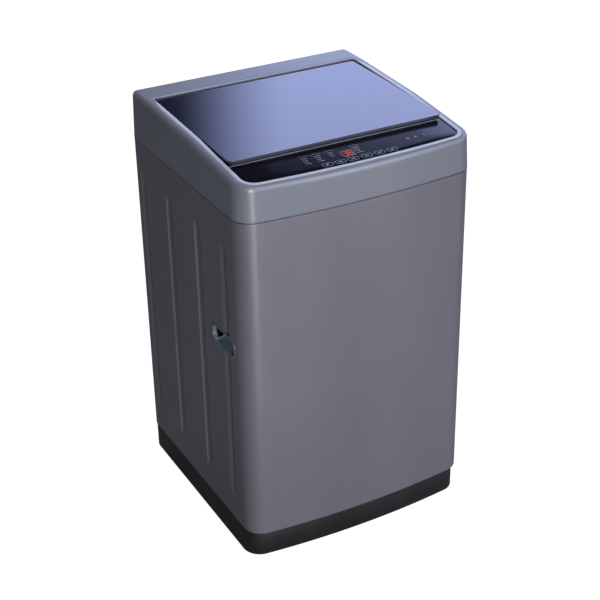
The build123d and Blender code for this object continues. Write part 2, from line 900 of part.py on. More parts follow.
with BuildPart() as outer_tub:
    with BuildSketch(Plane.XZ):
        with BuildLine():
            Polyline(
                (seal_hole, tub_bottom),
                (tub_outer, tub_bottom),
                (tub_outer, tub_top - tub_wall),
                (tub_outer + tub_flange, tub_top - tub_wall),
                (tub_outer + tub_flange, tub_top),
                (tub_inner, tub_top),
                (tub_inner, tub_bottom + tub_wall),
                (seal_hole, tub_bottom + tub_wall),
                close=True,
            )
        make_face()
    revolve(axis=Axis.Z)
    with BuildSketch(Plane.XY.offset(lug_low)):
        for x, y in corners.values():
            reach = hypot(x, y)
            share = (reach + tub_inner) / (2 * reach)
            with Locations(Location((x * share, y * share), degrees(atan2(y, x)))):
                Rectangle(reach - tub_inner, 2 * lug_radius)
            with Locations((x, y)):
                Circle(lug_radius)
                Circle(lug_hole, mode=Mode.SUBTRACT)
        Circle(tub_inner + tub_wall / 2, mode=Mode.SUBTRACT)
    extrude(amount=lug_height)
    with Locations((valve_x, pull_y, tub_bottom)):
        Cylinder(valve_radius / 2, 3 * tub_wall, mode=Mode.SUBTRACT)
outer_tub.part.label = "outer_tub"
export_step(outer_tub.part, "parts/outer_tub.step")

with BuildPart() as tub_cover:
    with BuildSketch(Plane.XZ):
        with BuildLine():
            Polyline(
                (tub_outer + tub_flange, tub_top),
                (tub_outer + tub_flange, tub_top + tub_wall),
                (cover_inner + tub_wall, tub_top + cover_height),
                (cover_inner, tub_top + cover_height),
                (cover_inner, tub_top + cover_height - 2 * tub_wall),
                (tub_outer - tub_wall, tub_top),
                close=True,
            )
        make_face()
    revolve(axis=Axis.Z)
tub_cover.part.label = "tub_cover"
export_step(tub_cover.part, "parts/tub_cover.step")

# ---------------------------------------------------------------- basket
with BuildPart() as wash_basket:
    with BuildSketch(Plane.XY.offset(basket_base_low)):
        add(ring_of(basket_radius + basket_sheet, basket_radius))
    extrude(amount=basket_top - basket_base_low)
    row_pitch = (basket_top - basket_base_low) / (hole_rows + 1)
    for row in range(hole_rows):
        with Locations((0, 0, basket_base_low + (row + 1) * row_pitch)):
            with PolarLocations(basket_radius, hole_columns, rotate=True):
                Cylinder(hole_radius, 6 * basket_sheet, rotation=(0, 90, 0), mode=Mode.SUBTRACT)
wash_basket.part.label = "wash_basket"
export_step(wash_basket.part, "parts/wash_basket.step")

with BuildPart() as balance_ring:
    with BuildSketch(Plane.XY.offset(basket_top)):
        add(ring_of(ring_outer, ring_inner))
    extrude(amount=ring_height - 2 * gap)
    fillet(balance_ring.edges().filter_by(GeomType.CIRCLE), ring_edge)
balance_ring.part.label = "balance_ring"
export_step(balance_ring.part, "parts/balance_ring.step")

with BuildPart() as basket_base:
    with BuildSketch(Plane.XY.offset(basket_base_low)):
        add(ring_of(basket_radius, spin_shaft_radius))
        with PolarLocations((hub_radius + basket_radius) / 2, base_hole_count):
            Circle(base_hole_radius, mode=Mode.SUBTRACT)
    extrude(amount=basket_base_height)
basket_base.part.label = "basket_base"
export_step(basket_base.part, "parts/basket_base.step")

for index, turn in enumerate(filter_turns):
    with BuildPart() as lint_filter:
        with BuildSketch(Plane.XY.offset(filter_low)):
            with Locations(Location((0, 0), turn)):
                with Locations((basket_radius - filter_thickness / 2, 0)):
                    Rectangle(filter_thickness, filter_width)
            Circle(basket_radius, mode=Mode.INTERSECT)
        extrude(amount=filter_length)
    lint_filter.part.label = f"lint_filter_{index + 1}"
    export_step(lint_filter.part, f"parts/lint_filter_{index + 1}.step")

with BuildPart() as spin_hub:
    with BuildSketch(Plane.XY.offset(spin_shaft_bottom)):
        add(ring_of(spin_shaft_radius, shaft_radius + running_clearance))
    extrude(amount=basket_base_low + basket_base_height - spin_shaft_bottom)
    with BuildSketch(Plane.XY.offset(basket_base_low)):
        add(ring_of(hub_radius, (spin_shaft_radius + shaft_radius) / 2))
    extrude(amount=-hub_thickness)
spin_hub.part.label = "spin_hub"
export_step(spin_hub.part, "parts/spin_hub.step")

# ---------------------------------------------------------------- pulsator
disc_top = pulsator_low + pulsator_thickness
blade_run = pulsator_radius - 2 * blade_start

with BuildPart() as pulsator:
    with BuildSketch(Plane.XZ):
        with BuildLine():
            Polyline(
                (shaft_radius, pulsator_low),
                (pulsator_radius - pulsator_edge, pulsator_low),
                (pulsator_radius, pulsator_low + pulsator_edge),
                (pulsator_radius, disc_top + pulsator_rim),
                (pulsator_radius - pulsator_rim, disc_top + pulsator_rim),
                (pulsator_slope_end, disc_top),
                (pulsator_hub_radius, disc_top + pulsator_hub_height),
                (shaft_radius, disc_top + pulsator_hub_height),
                close=True,
            )
        make_face()
    revolve(axis=Axis.Z)
    with Locations((0, 0, pulsator_low + pulsator_thickness / 2)):
        with PolarLocations(blade_start + blade_run / 2, blade_count):
            Box(blade_run, blade_width, blade_height, align=upright)
pulsator.part.label = "pulsator"
export_step(pulsator.part, "parts/pulsator.step")

with BuildPart() as pulsator_cap:
    with Locations((0, 0, pulsator_low + pulsator_thickness / 2 + blade_height)):
        Cylinder(cap_radius, cap_height, align=upright)
    fillet(pulsator_cap.edges().group_by(Axis.Z)[-1], cap_edge)
pulsator_cap.part.label = "pulsator_cap"
export_step(pulsator_cap.part, "parts/pulsator_cap.step")

with BuildPart() as pulsator_shaft:
    with Locations((0, 0, shaft_bottom)):
        Cylinder(shaft_radius, disc_top + pulsator_hub_height - shaft_bottom, align=upright)
pulsator_shaft.part.label = "pulsator_shaft"
export_step(pulsator_shaft.part, "parts/pulsator_shaft.step")


# ---------------------------------------------------------------- drive
def pulley_profile(radius, bore):
    """Half section of a grooved pulley, for turning about its own upright axis."""
    groove = belt_width + pulley_groove_flare
    with BuildSketch(Plane.XZ) as outline:
        with BuildLine():
            Polyline(
                (bore, 0),
                (radius, 0),
                (radius, (pulley_height - groove) / 2),
                (radius - belt_thickness, (pulley_height - belt_width) / 2),
                (radius - belt_thickness, (pulley_height + belt_width) / 2),
                (radius, (pulley_height + groove) / 2),
                (radius, pulley_height),
                (bore, pulley_height),
                close=True,
            )
        make_face()
    return outline.sketch


with BuildPart() as driven_pulley:
    large_pulley = revolve(pulley_profile(driven_pulley_radius, shaft_radius), Axis.Z, mode=Mode.PRIVATE)
    add(Pos(0, 0, pulley_low) * large_pulley)
driven_pulley.part.label = "driven_pulley"
export_step(driven_pulley.part, "parts/driven_pulley.step")

with BuildPart() as motor_pulley:
    small_pulley = revolve(pulley_profile(motor_pulley_radius, motor_shaft_radius), Axis.Z, mode=Mode.PRIVATE)
    add(Pos(motor_x, 0, pulley_low) * small_pulley)
motor_pulley.part.label = "motor_pulley"
export_step(motor_pulley.part, "parts/motor_pulley.step")

with BuildPart() as motor_shaft:
    with Locations((motor_x, 0, shaft_bottom)):
        Cylinder(
            motor_shaft_radius,
            motor_low + motor_shaft_insertion - shaft_bottom,
            align=upright,
        )
motor_shaft.part.label = "motor_shaft"
export_step(motor_shaft.part, "parts/motor_shaft.step")

with BuildPart() as drive_belt:
    with BuildSketch(Plane.XY.offset(pulley_low + (pulley_height - belt_width) / 2 + belt_clearance)):
        for grow, mode in ((belt_thickness, Mode.ADD), (belt_clearance, Mode.SUBTRACT)):
            large = driven_pulley_radius - belt_thickness + grow
            small = motor_pulley_radius - belt_thickness + grow
            with BuildSketch(mode=Mode.PRIVATE) as loop:
                Circle(large)
                with Locations((motor_x, 0)):
                    Circle(small)
                make_hull()
            add(loop.sketch, mode=mode)
    extrude(amount=belt_width - 2 * belt_clearance)
drive_belt.part.label = "drive_belt"
export_step(drive_belt.part, "parts/drive_belt.step")

with BuildPart() as drive_plate:
    with BuildSketch(Plane.XY.offset(plate_low)):
        with Locations(((motor_x + capacitor_x) / 2, 0)):
            RectangleRounded(
                motor_x - capacitor_x + 2 * motor_radius,
                2 * (motor_radius + plate_margin),
                plate_corner,
            )
        Circle(spin_shaft_radius + plate_hole_clearance, mode=Mode.SUBTRACT)
    extrude(amount=plate_thickness)
drive_plate.part.label = "drive_plate"
export_step(drive_plate.part, "parts/drive_plate.step")

with BuildPart() as clutch_housing:
    with BuildSketch(Plane.XY.offset(plate_low)):
        add(ring_of(clutch_flange_radius, spin_shaft_radius + running_clearance))
    extrude(amount=-clutch_flange_thickness)
    with BuildSketch(Plane.XY.offset(plate_low)):
        add(ring_of(clutch_radius, spin_shaft_radius + running_clearance))
    extrude(amount=spin_shaft_bottom + clutch_flange_thickness - plate_low)
clutch_housing.part.label = "clutch_housing"
export_step(clutch_housing.part, "parts/clutch_housing.step")

with BuildPart() as drive_motor:
    with Locations((motor_x, 0, motor_low)):
        Cylinder(motor_radius, motor_high - motor_low, align=upright)
        Cylinder(
            motor_shaft_radius + running_clearance,
            motor_bearing_depth,
            align=upright,
            mode=Mode.SUBTRACT,
        )
    with Locations((motor_x, 0, motor_high)):
        with GridLocations(motor_post_spread * motor_radius, motor_post_spread * motor_radius, 2, 2):
            Cylinder(motor_post_radius, plate_low - motor_high, align=upright)
drive_motor.part.label = "drive_motor"
export_step(drive_motor.part, "parts/drive_motor.step")

with BuildPart() as run_capacitor:
    with Locations((capacitor_x, 0, plate_low)):
        Cylinder(capacitor_radius, capacitor_length, align=hanging)
    fillet(run_capacitor.edges().group_by(Axis.Z)[0], capacitor_edge)
run_capacitor.part.label = "run_capacitor"
export_step(run_capacitor.part, "parts/run_capacitor.step")

# ---------------------------------------------------------------- drain valve and its pull
with BuildPart() as drain_valve:
    with Locations((valve_x, pull_y, valve_low)):
        Cylinder(valve_radius, tub_bottom - valve_low, align=upright)
    with Locations(Location((valve_x, pull_y, pull_z), (0, 90, 0))):
        Cylinder(pull_radius + pull_clearance, 2 * valve_radius, align=upright, mode=Mode.SUBTRACT)
    with Locations(Location((valve_x, pull_y, valve_low + valve_outlet_radius), (-90, 0, 0))):
        Cylinder(valve_outlet_radius, valve_radius + valve_outlet_length, align=upright)
        Cylinder(valve_outlet_bore, 2 * valve_radius, align=upright, mode=Mode.SUBTRACT)
drain_valve.part.label = "drain_valve"
export_step(drain_valve.part, "parts/drain_valve.step")

with BuildPart() as drain_actuator:
    with Locations((actuator_x, pull_y, tub_bottom)):
        Box(actuator_length, actuator_depth, tub_bottom - pull_z + actuator_floor, align=hanging)
    with Locations(Location((actuator_x - actuator_length / 2, pull_y, pull_z), (0, 90, 0))):
        Cylinder(pull_radius + pull_clearance, actuator_bore, align=upright, mode=Mode.SUBTRACT)
drain_actuator.part.label = "drain_actuator"
export_step(drain_actuator.part, "parts/drain_actuator.step")

pull_left = valve_x + valve_radius / 2
pull_right = actuator_x - 2 * collar_width
with BuildPart() as pull_rod:
    with Locations(Location((pull_left, pull_y, pull_z), (0, 90, 0))):
        Cylinder(pull_radius, pull_right - pull_left, align=upright)
    with Locations(Location((collar_x, pull_y, pull_z), (0, 90, 0))):
        Cylinder(collar_radius, collar_width, align=upright)
pull_rod.part.label = "pull_rod"
export_step(pull_rod.part, "parts/pull_rod.step")

lever_x = collar_x + collar_width + lever_gap + lever_width / 2
with BuildPart() as clutch_lever:
    with BuildSketch(Plane.XY.offset(pull_z - lever_thickness / 2)):
        with Locations((lever_x, (lever_y + pull_y + lever_end_gap) / 2)):
            Rectangle(lever_width, lever_y - pull_y - lever_end_gap)
        with Locations((lever_x, lever_y)):
            Circle(lever_width / 2)
    extrude(amount=lever_thickness)
    with Locations((lever_x, lever_y, pull_z)):
        Cylinder(lever_pin_radius, plate_low - 2 * gap - pull_z, align=upright)
clutch_lever.part.label = "clutch_lever"
export_step(clutch_lever.part, "parts/clutch_lever.step")

# ---------------------------------------------------------------- suspension
for place, (x, y) in corners.items():
    side = 1 if x > 0 else -1
    end = 1 if y > 0 else -1
    wall_y = rear_y if end > 0 else front_y

    with BuildPart() as bracket:
        with BuildSketch(Plane.XY.offset(bracket_top - bracket_thickness)):
            add(footprint(sheet + rib_depth + gap, sheet + gap))
            with Locations((side * half_width, wall_y)):
                Rectangle(2 * bracket_reach, 2 * (bracket_reach + bow), mode=Mode.INTERSECT)
            with Locations((side * half_width, rear_y)):
                Rectangle(width, 2 * (rear_step + 2 * sheet), mode=Mode.SUBTRACT)
            with Locations((x, y)):
                Circle(bracket_hole, mode=Mode.SUBTRACT)
        extrude(amount=bracket_thickness)
    bracket.part.label = f"rod_bracket_{place}"
    export_step(bracket.part, f"parts/rod_bracket_{place}.step")

    ball_z = bracket_top + (ball_radius**2 - bracket_hole**2) ** 0.5
    with BuildPart() as rod:
        with Locations((x, y, seat_low)):
            Cylinder(rod_radius, ball_z - seat_low, align=upright)
            Cylinder(seat_radius, seat_height, align=upright)
        with Locations((x, y, ball_z)):
            Sphere(ball_radius)
    rod.part.label = f"suspension_rod_{place}"
    export_step(rod.part, f"parts/suspension_rod_{place}.step")

    coil_low = seat_low + seat_height + gap + wire_radius
    coil_height = lug_low - gap - wire_radius - coil_low
    with BuildPart() as coil:
        with BuildLine() as coil_path:
            Helix(coil_height / coil_turns, coil_height, coil_radius, center=(x, y, coil_low))
        with BuildSketch(Plane(origin=coil_path.line @ 0, z_dir=coil_path.line % 0)):
            Circle(wire_radius)
        sweep()
    coil.part.label = f"suspension_spring_{place}"
    export_step(coil.part, f"parts/suspension_spring_{place}.step")
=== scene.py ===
"""Looks of a top load washing machine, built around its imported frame.

Metres, +Z up, X to the right seen from the front, the front faces -Y.
"""
import json
import math

import bmesh
import bpy
import numpy as np
from mathutils import Matrix, Vector


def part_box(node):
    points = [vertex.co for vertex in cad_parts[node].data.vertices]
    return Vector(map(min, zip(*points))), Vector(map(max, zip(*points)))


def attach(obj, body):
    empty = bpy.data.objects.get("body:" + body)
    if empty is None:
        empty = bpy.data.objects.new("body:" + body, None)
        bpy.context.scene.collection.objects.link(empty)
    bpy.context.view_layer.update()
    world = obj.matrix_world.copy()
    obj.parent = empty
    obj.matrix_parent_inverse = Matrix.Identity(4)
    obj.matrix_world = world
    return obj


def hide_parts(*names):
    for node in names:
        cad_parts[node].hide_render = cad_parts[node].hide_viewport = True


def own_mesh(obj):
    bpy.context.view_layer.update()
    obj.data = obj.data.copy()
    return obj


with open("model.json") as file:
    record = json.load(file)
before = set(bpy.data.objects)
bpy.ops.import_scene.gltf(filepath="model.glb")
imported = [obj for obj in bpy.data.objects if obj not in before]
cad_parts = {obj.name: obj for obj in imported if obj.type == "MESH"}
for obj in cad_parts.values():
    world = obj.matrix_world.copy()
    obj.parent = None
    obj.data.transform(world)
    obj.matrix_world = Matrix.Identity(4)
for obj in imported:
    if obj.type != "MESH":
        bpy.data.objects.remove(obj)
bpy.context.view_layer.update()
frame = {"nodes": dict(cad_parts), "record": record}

# ------------------------------------------------------------------ sizes
MM = 0.001
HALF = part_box("cabinet_wrap")[1].x
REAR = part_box("cabinet_wrap")[1].y
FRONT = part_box("cabinet_wrap")[0].y
BASE_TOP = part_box("cabinet_wrap")[0].z
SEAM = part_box("cabinet_wrap")[1].z
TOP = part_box("top_frame")[1].z
NECK_LOW = 0.812
BOW = 0.0184
SIDE_FRONT = FRONT + BOW
FRONT_CORNER = 0.043
REAR_CORNER = 0.016

# Band of the top frame and its rim
BAND_TAPER = math.radians(2.4)
CROWN = 0.0085
RIM_LEVEL_END = 0.190
RIM_BEND = -0.040
RIM_SLOPES = (0.04435, 0.10065)
RIM_BLEND = 0.014
RIM_ROUND = 1.6 * MM
WELL_SIDE = 0.245
WELL_REAR = 0.1965
WELL_FRONT = -0.240
WELL_BOW = 0.010
WELL_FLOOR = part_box("control_panel")[0].z
WELL_CORNERS = (0.008, 0.028)
NECK_SIDE = 0.190
NECK_Y = (-0.156, 0.178)
NECK_CORNER = 0.120

# Console
CONSOLE_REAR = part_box("control_panel")[1].y
CONSOLE_REAR_Z = 0.9013
CONSOLE_SLOPE = 0.105
PRINT_LIFT = 0.00018
DISPLAY_Y = -0.2091

# Side channels: where each steep front wall stands, and whether the rear wall is steep too
RIB_LOW, RIB_HIGH = 0.131, 0.750
RIB_WIDTH = 0.025
RIB_DEPTH = 0.0032
RIBS = ((0.2164, False), (0.0774, True), (-0.0626, True), (-0.1806, False))
GRIP_CENTRE = (-0.1566, 0.5185)
GRIP_SIZE = (0.108, 0.045)
GRIP_LIP = 0.0012

# Pocket round the water inlet: its middle (X, Z) and its size
INLET_CENTRE = (0.110, 0.862)
INLET_SIZE = (0.072, 0.062)

# Suspension springs: the wire's thickness and the number of turns
SPRING_WIRE = 0.004
SPRING_TURNS = 5

nodes = frame["nodes"]


# ------------------------------------------------------------------ mesh making
def rise(t):
    """Smooth step from 0 to 1: three t squared less two t cubed, held at the ends."""
    t = np.clip(t, 0.0, 1.0)
    return t * t * (3 - 2 * t)


def mesh_object(name, points, faces, smooth_angle=math.radians(32)):
    """A mesh object at the origin from an array of points and a list of faces."""
    mesh = bpy.data.meshes.new(name)
    mesh.from_pydata(np.asarray(points, float).reshape(-1, 3).tolist(), [], faces)
    mesh.validate()
    mesh.shade_smooth()
    mesh.set_sharp_from_angle(angle=smooth_angle)
    piece = bpy.data.objects.new(name, mesh)
    bpy.context.collection.objects.link(piece)
    return piece


def grid_faces(rows, columns, wrap=True, keep=None, close_rows=False):
    """Quads between neighbouring rows of a grid, wrapped round its columns if asked."""
    last = columns if wrap else columns - 1
    row_count = rows if close_rows else rows - 1
    r, c = np.meshgrid(np.arange(row_count), np.arange(last), indexing="ij")
    after = (r + 1) % rows
    beside = (c + 1) % columns
    near, far = r * columns, after * columns
    quads = np.stack([near + c, near + beside, far + beside, far + c], -1)
    if keep is not None:
        quads = quads[keep[:row_count, :last]]
    return quads.reshape(-1, 4).tolist()


def skin(name, loops, **options):
    """A surface over an array of loops, shape (rows, columns, 3)."""
    loops = np.asarray(loops, float)
    return mesh_object(name, loops, grid_faces(loops.shape[0], loops.shape[1], **options))


def with_modifiers(piece, *settings):
    """Adds modifiers, each given as (kind, values), and applies them to the mesh."""
    for kind, values in settings:
        modifier = piece.modifiers.new(kind.title(), kind)
        for key, value in values.items():
            setattr(modifier, key, value)
    graph = bpy.context.evaluated_depsgraph_get()
    mesh = bpy.data.meshes.new_from_object(piece.evaluated_get(graph))
    piece.modifiers.clear()
    piece.data = mesh
    return piece


def reshape(piece, change):
    """Lets change work on the editable form of a piece's mesh, and writes it back."""
    shape = bmesh.new()
    shape.from_mesh(piece.data)
    change(shape)
    shape.to_mesh(piece.data)
    shape.free()
    return piece


def turn_outwards(piece, merge=1e-6):
    """Joins the points that meet within merge, and makes the faces of a closed mesh point outwards."""
    def change(shape):
        bmesh.ops.remove_doubles(shape, verts=shape.verts, dist=merge)
        bmesh.ops.recalc_face_normals(shape, faces=shape.faces)
    return reshape(piece, change)


def outline(side, rear, front, bow, corners, side_stops=None, counts=(14, 8, 12, 36, 60)):
    """Closed plan outline, counter-clockwise from the middle of the back.

    The back and sides are straight. The front is an arc of a circle that stands bow proud at its
    middle, and each corner is an arc that is tangent to what it joins.
    """
    rear_radius, front_radius = corners
    rear_count, rear_arc, front_arc, front_count, side_count = counts
    big = (side * side + bow * bow) / (2 * bow)
    big_y = front - bow + big
    corner_x = side - front_radius
    corner_y = big_y - math.sqrt((big - front_radius) ** 2 - corner_x**2)
    lean = math.atan2(corner_x, big_y - corner_y)
    stops = np.linspace(0, 1, side_count, endpoint=False) if side_stops is None else side_stops
    back = np.linspace(0, -(side - rear_radius), rear_count, endpoint=False)
    back = np.stack([back, np.full_like(back, rear)], -1)
    turn = np.linspace(0.5, 1.0, rear_arc, endpoint=False) * math.pi
    rear_turn = np.stack([np.cos(turn), np.sin(turn)], -1) * rear_radius
    rear_turn += (-(side - rear_radius), rear - rear_radius)
    flank = (rear - rear_radius) + (corner_y - rear + rear_radius) * np.asarray(stops)
    flank = np.stack([np.full_like(flank, -side), flank], -1)
    turn = np.linspace(math.pi, 1.5 * math.pi - lean, front_arc, endpoint=False)
    front_turn = np.stack([np.cos(turn), np.sin(turn)], -1) * front_radius + (-corner_x, corner_y)
    sweep = np.linspace(-lean, 0, front_count)
    nose = np.stack([big * np.sin(sweep), big_y - big * np.cos(sweep)], -1)
    left = np.concatenate([back, rear_turn, flank, front_turn, nose])
    right = left[-2:0:-1] * (-1, 1)
    return np.concatenate([left, right])


def at_height(plan, height):
    """Lifts a plan outline to a height, or to one height for each of its points."""
    return np.column_stack([plan, np.broadcast_to(height, len(plan))])


def rounded_rectangle(width, height, radius, steps=8):
    """Closed outline about the origin, counter-clockwise, with an arc at each corner."""
    turn = np.linspace(0, math.pi / 2, steps)
    quarter = np.stack([np.cos(turn), np.sin(turn)], -1) * radius
    parts = []
    for index, (x, y) in enumerate(((1, 1), (-1, 1), (-1, -1), (1, -1))):
        spin = index * math.pi / 2
        turned = quarter @ np.array([[math.cos(spin), math.sin(spin)], [-math.sin(spin), math.cos(spin)]])
        parts.append(turned + (x * (width / 2 - radius), y * (height / 2 - radius)))
    return np.concatenate(parts)


def prism(name, base, lift):
    """Closed prism: an outline of 3-D points and the same outline moved by lift."""
    base = np.asarray(base, float)
    count = len(base)
    faces = grid_faces(2, count)
    faces += [list(range(count))[::-1], list(range(count, 2 * count))]
    return turn_outwards(mesh_object(name, np.concatenate([base, base + lift]), faces))


def rim_height(y):
    """Height of the rim: level at the back, then two slopes that blend over a short arc."""
    def ramp(distance):
        blend = (np.clip(distance, -RIM_BLEND, RIM_BLEND) + RIM_BLEND) ** 2 / (4 * RIM_BLEND)
        return np.where(distance > RIM_BLEND, distance, blend)
    y = np.asarray(y, float)
    return (
        TOP
        - RIM_SLOPES[0] * ramp(RIM_LEVEL_END - y)
        - (RIM_SLOPES[1] - RIM_SLOPES[0]) * ramp(RIM_BEND - y)
    )


def console_height(y):
    """Height of the console's face, a plane that falls towards the front."""
    return CONSOLE_REAR_Z + CONSOLE_SLOPE * (np.asarray(y, float) - CONSOLE_REAR)


# ------------------------------------------------------------------ shared shader effects
def new_group(name, inputs, outputs):
    """A shader node group with the given float inputs and named outputs."""
    tree = bpy.data.node_groups.new(name, "ShaderNodeTree")
    for label, value in inputs:
        socket = tree.interface.new_socket(label, in_out="INPUT", socket_type="NodeSocketFloat")
        socket.default_value = value
    for label, kind in outputs:
        tree.interface.new_socket(label, in_out="OUTPUT", socket_type=kind)
    return tree


class Wiring:
    """Short hand for adding and joining nodes in one tree."""

    def __init__(self, tree):
        self.tree = tree

    def add(self, kind, links=(), **values):
        node = self.tree.nodes.new(kind)
        for key, value in values.items():
            setattr(node, key, value)
        for key, source in dict(links).items():
            socket = node.inputs[key]
            if isinstance(source, bpy.types.NodeSocket):
                self.tree.links.new(source, socket)
            else:
                socket.default_value = source
        return node

    def math(self, operation, a, b=0.0):
        return self.add("ShaderNodeMath", {0: a, 1: b}, operation=operation).outputs[0]

    def mix(self, factor, a, b):
        node = self.add("ShaderNodeMix", data_type="RGBA")
        for key, source in ((0, factor), (6, a), (7, b)):
            if isinstance(source, bpy.types.NodeSocket):
                self.tree.links.new(source, node.inputs[key])
            else:
                node.inputs[key].default_value = source
        return node.outputs[2]

    def ramp(self, value, low, high):
        return self.add(
            "ShaderNodeMapRange",
            {"Value": value, "From Min": low, "From Max": high},
            interpolation_type="SMOOTHSTEP",
        ).outputs[0]

    def place(self, scale=(1.0, 1.0, 1.0)):
        where = self.add("ShaderNodeTexCoord").outputs["Object"]
        return self.add("ShaderNodeMapping", {"Vector": where, "Scale": scale}).outputs[0]


def make_grain_group():
    """Fine grain: noise stretched along Z, as a height, and a broad mottle, as a mask."""
    tree = new_group(
        "fine_grain",
        [("Grain Scale", 900.0), ("Mottle Scale", 9.0)],
        [("Height", "NodeSocketFloat"), ("Mottle", "NodeSocketFloat")],
    )
    w = Wiring(tree)
    given = w.add("NodeGroupInput")
    place = w.place((1.0, 1.0, 0.35))
    fine, broad = (
        w.add("ShaderNodeTexNoise", {"Vector": place, "Scale": given.outputs[size], "Detail": detail})
        for size, detail in (("Grain Scale", 2.0), ("Mottle Scale", 4.0))
    )
    result = w.add("NodeGroupOutput")
    tree.links.new(fine.outputs[0], result.inputs["Height"])
    tree.links.new(broad.outputs[0], result.inputs["Mottle"])
    return tree


def make_wear_group():
    """Handling marks: faint wipe streaks and small rubbed spots, as one mask from 0 to 1."""
    tree = new_group(
        "handling_marks",
        [("Streak Scale", 14.0), ("Spot Scale", 60.0)],
        [("Marks", "NodeSocketFloat")],
    )
    w = Wiring(tree)
    given = w.add("NodeGroupInput")
    streak_place = w.place((1.0, 0.25, 1.0))
    streak = w.add("ShaderNodeTexNoise", {
        "Vector": streak_place, "Scale": given.outputs["Streak Scale"], "Detail": 6.0, "Distortion": 0.6})
    spot = w.add("ShaderNodeTexNoise", {
        "Vector": w.place(), "Scale": given.outputs["Spot Scale"], "Detail": 3.0})
    streaks = w.ramp(streak.outputs[0], 0.48, 0.75)
    spots = w.ramp(spot.outputs[0], 0.60, 0.72)
    marks = w.math("MAXIMUM", streaks, w.math("MULTIPLY", spots, 0.6))
    result = w.add("NodeGroupOutput")
    tree.links.new(marks, result.inputs["Marks"])
    return tree


def make_dust_group():
    """Settled dust: more on faces that look up and lower down, broken up by noise."""
    tree = new_group(
        "settled_dust",
        [("Low", 0.0), ("High", 0.25)],
        [("Dust", "NodeSocketFloat")],
    )
    w = Wiring(tree)
    given = w.add("NodeGroupInput")
    normal = w.add("ShaderNodeSeparateXYZ", {0: w.add("ShaderNodeNewGeometry").outputs["Normal"]}).outputs[2]
    where = w.add("ShaderNodeSeparateXYZ", {0: w.place()}).outputs[2]
    facing = w.ramp(normal, 0.35, 0.95)
    near = w.ramp(where, given.outputs["High"], given.outputs["Low"])
    noise = w.add("ShaderNodeTexNoise", {"Vector": w.place(), "Scale": 45.0, "Detail": 5.0}).outputs[0]
    broken = w.ramp(noise, 0.35, 0.75)
    dust = w.math("MULTIPLY", w.math("MAXIMUM", facing, near), broken)
    result = w.add("NodeGroupOutput")
    tree.links.new(dust, result.inputs["Dust"])
    return tree


GRAIN = make_grain_group()
MARKS = make_wear_group()
DUST = make_dust_group()


def use(w, group, **values):
    """Places a shared effect in a material with its own values."""
    node = w.add("ShaderNodeGroup", node_tree=group)
    for key, value in values.items():
        node.inputs[key.replace("_", " ")].default_value = value
    return node


def finish_material(
    name,
    dark,
    light,
    rough=(0.35, 0.5),
    metallic=0.0,
    grain=900.0,
    mottle=9.0,
    bump=0.02,
    bump_size=0.0002,
    streak=14.0,
    spot=60.0,
    dust=0.0,
    dust_high=0.25,
    coat=0.0,
    specular=0.5,
    ior=1.5,
):
    """A finish whose colour runs between dark and light with its grain, marks and dust."""
    material = bpy.data.materials.new(name)
    material.use_nodes = True
    w = Wiring(material.node_tree)
    shader = material.node_tree.nodes["Principled BSDF"]
    texture = use(w, GRAIN, Grain_Scale=grain, Mottle_Scale=mottle)
    marks = use(w, MARKS, Streak_Scale=streak, Spot_Scale=spot).outputs["Marks"]
    blend = w.math("ADD", w.math("MULTIPLY", texture.outputs["Height"], 0.55),
                   w.math("MULTIPLY", texture.outputs["Mottle"], 0.45))
    colour = w.mix(w.ramp(blend, 0.34, 0.66), (*dark, 1), (*light, 1))
    if dust:
        settled = use(w, DUST, High=dust_high).outputs["Dust"]
        colour = w.mix(w.math("MULTIPLY", settled, dust), colour, (0.42, 0.40, 0.37, 1))
    roughness = w.add("ShaderNodeMapRange", {
        "Value": marks, "To Min": rough[0], "To Max": rough[1]}).outputs[0]
    relief = w.add("ShaderNodeBump", {
        "Height": texture.outputs["Height"], "Strength": bump, "Distance": bump_size})
    link = material.node_tree.links.new
    link(colour, shader.inputs["Base Color"])
    link(roughness, shader.inputs["Roughness"])
    link(relief.outputs[0], shader.inputs["Normal"])
    shader.inputs["Metallic"].default_value = metallic
    shader.inputs["Coat Weight"].default_value = coat
    shader.inputs["Coat Roughness"].default_value = 0.08
    shader.inputs["Specular IOR Level"].default_value = specular
    shader.inputs["IOR"].default_value = ior
    return material


def glowing_material(name, colour, strength):
    """A lit print: colour with a slow mottle so that its glow isn't even."""
    material = bpy.data.materials.new(name)
    material.use_nodes = True
    w = Wiring(material.node_tree)
    shader = material.node_tree.nodes["Principled BSDF"]
    mottle = use(w, GRAIN, Grain_Scale=400.0, Mottle_Scale=60.0).outputs["Mottle"]
    shade = tuple(part * 0.8 for part in colour)
    surface = tuple(part * 0.25 for part in colour)
    glow = w.mix(w.ramp(mottle, 0.3, 0.7), (*shade, 1), (*colour, 1))
    body = w.mix(w.ramp(mottle, 0.3, 0.7), (*(part * 0.8 for part in surface), 1), (*surface, 1))
    material.node_tree.links.new(body, shader.inputs["Base Color"])
    material.node_tree.links.new(glow, shader.inputs["Emission Color"])
    shader.inputs["Emission Strength"].default_value = strength
    shader.inputs["Roughness"].default_value = 0.5
    return material


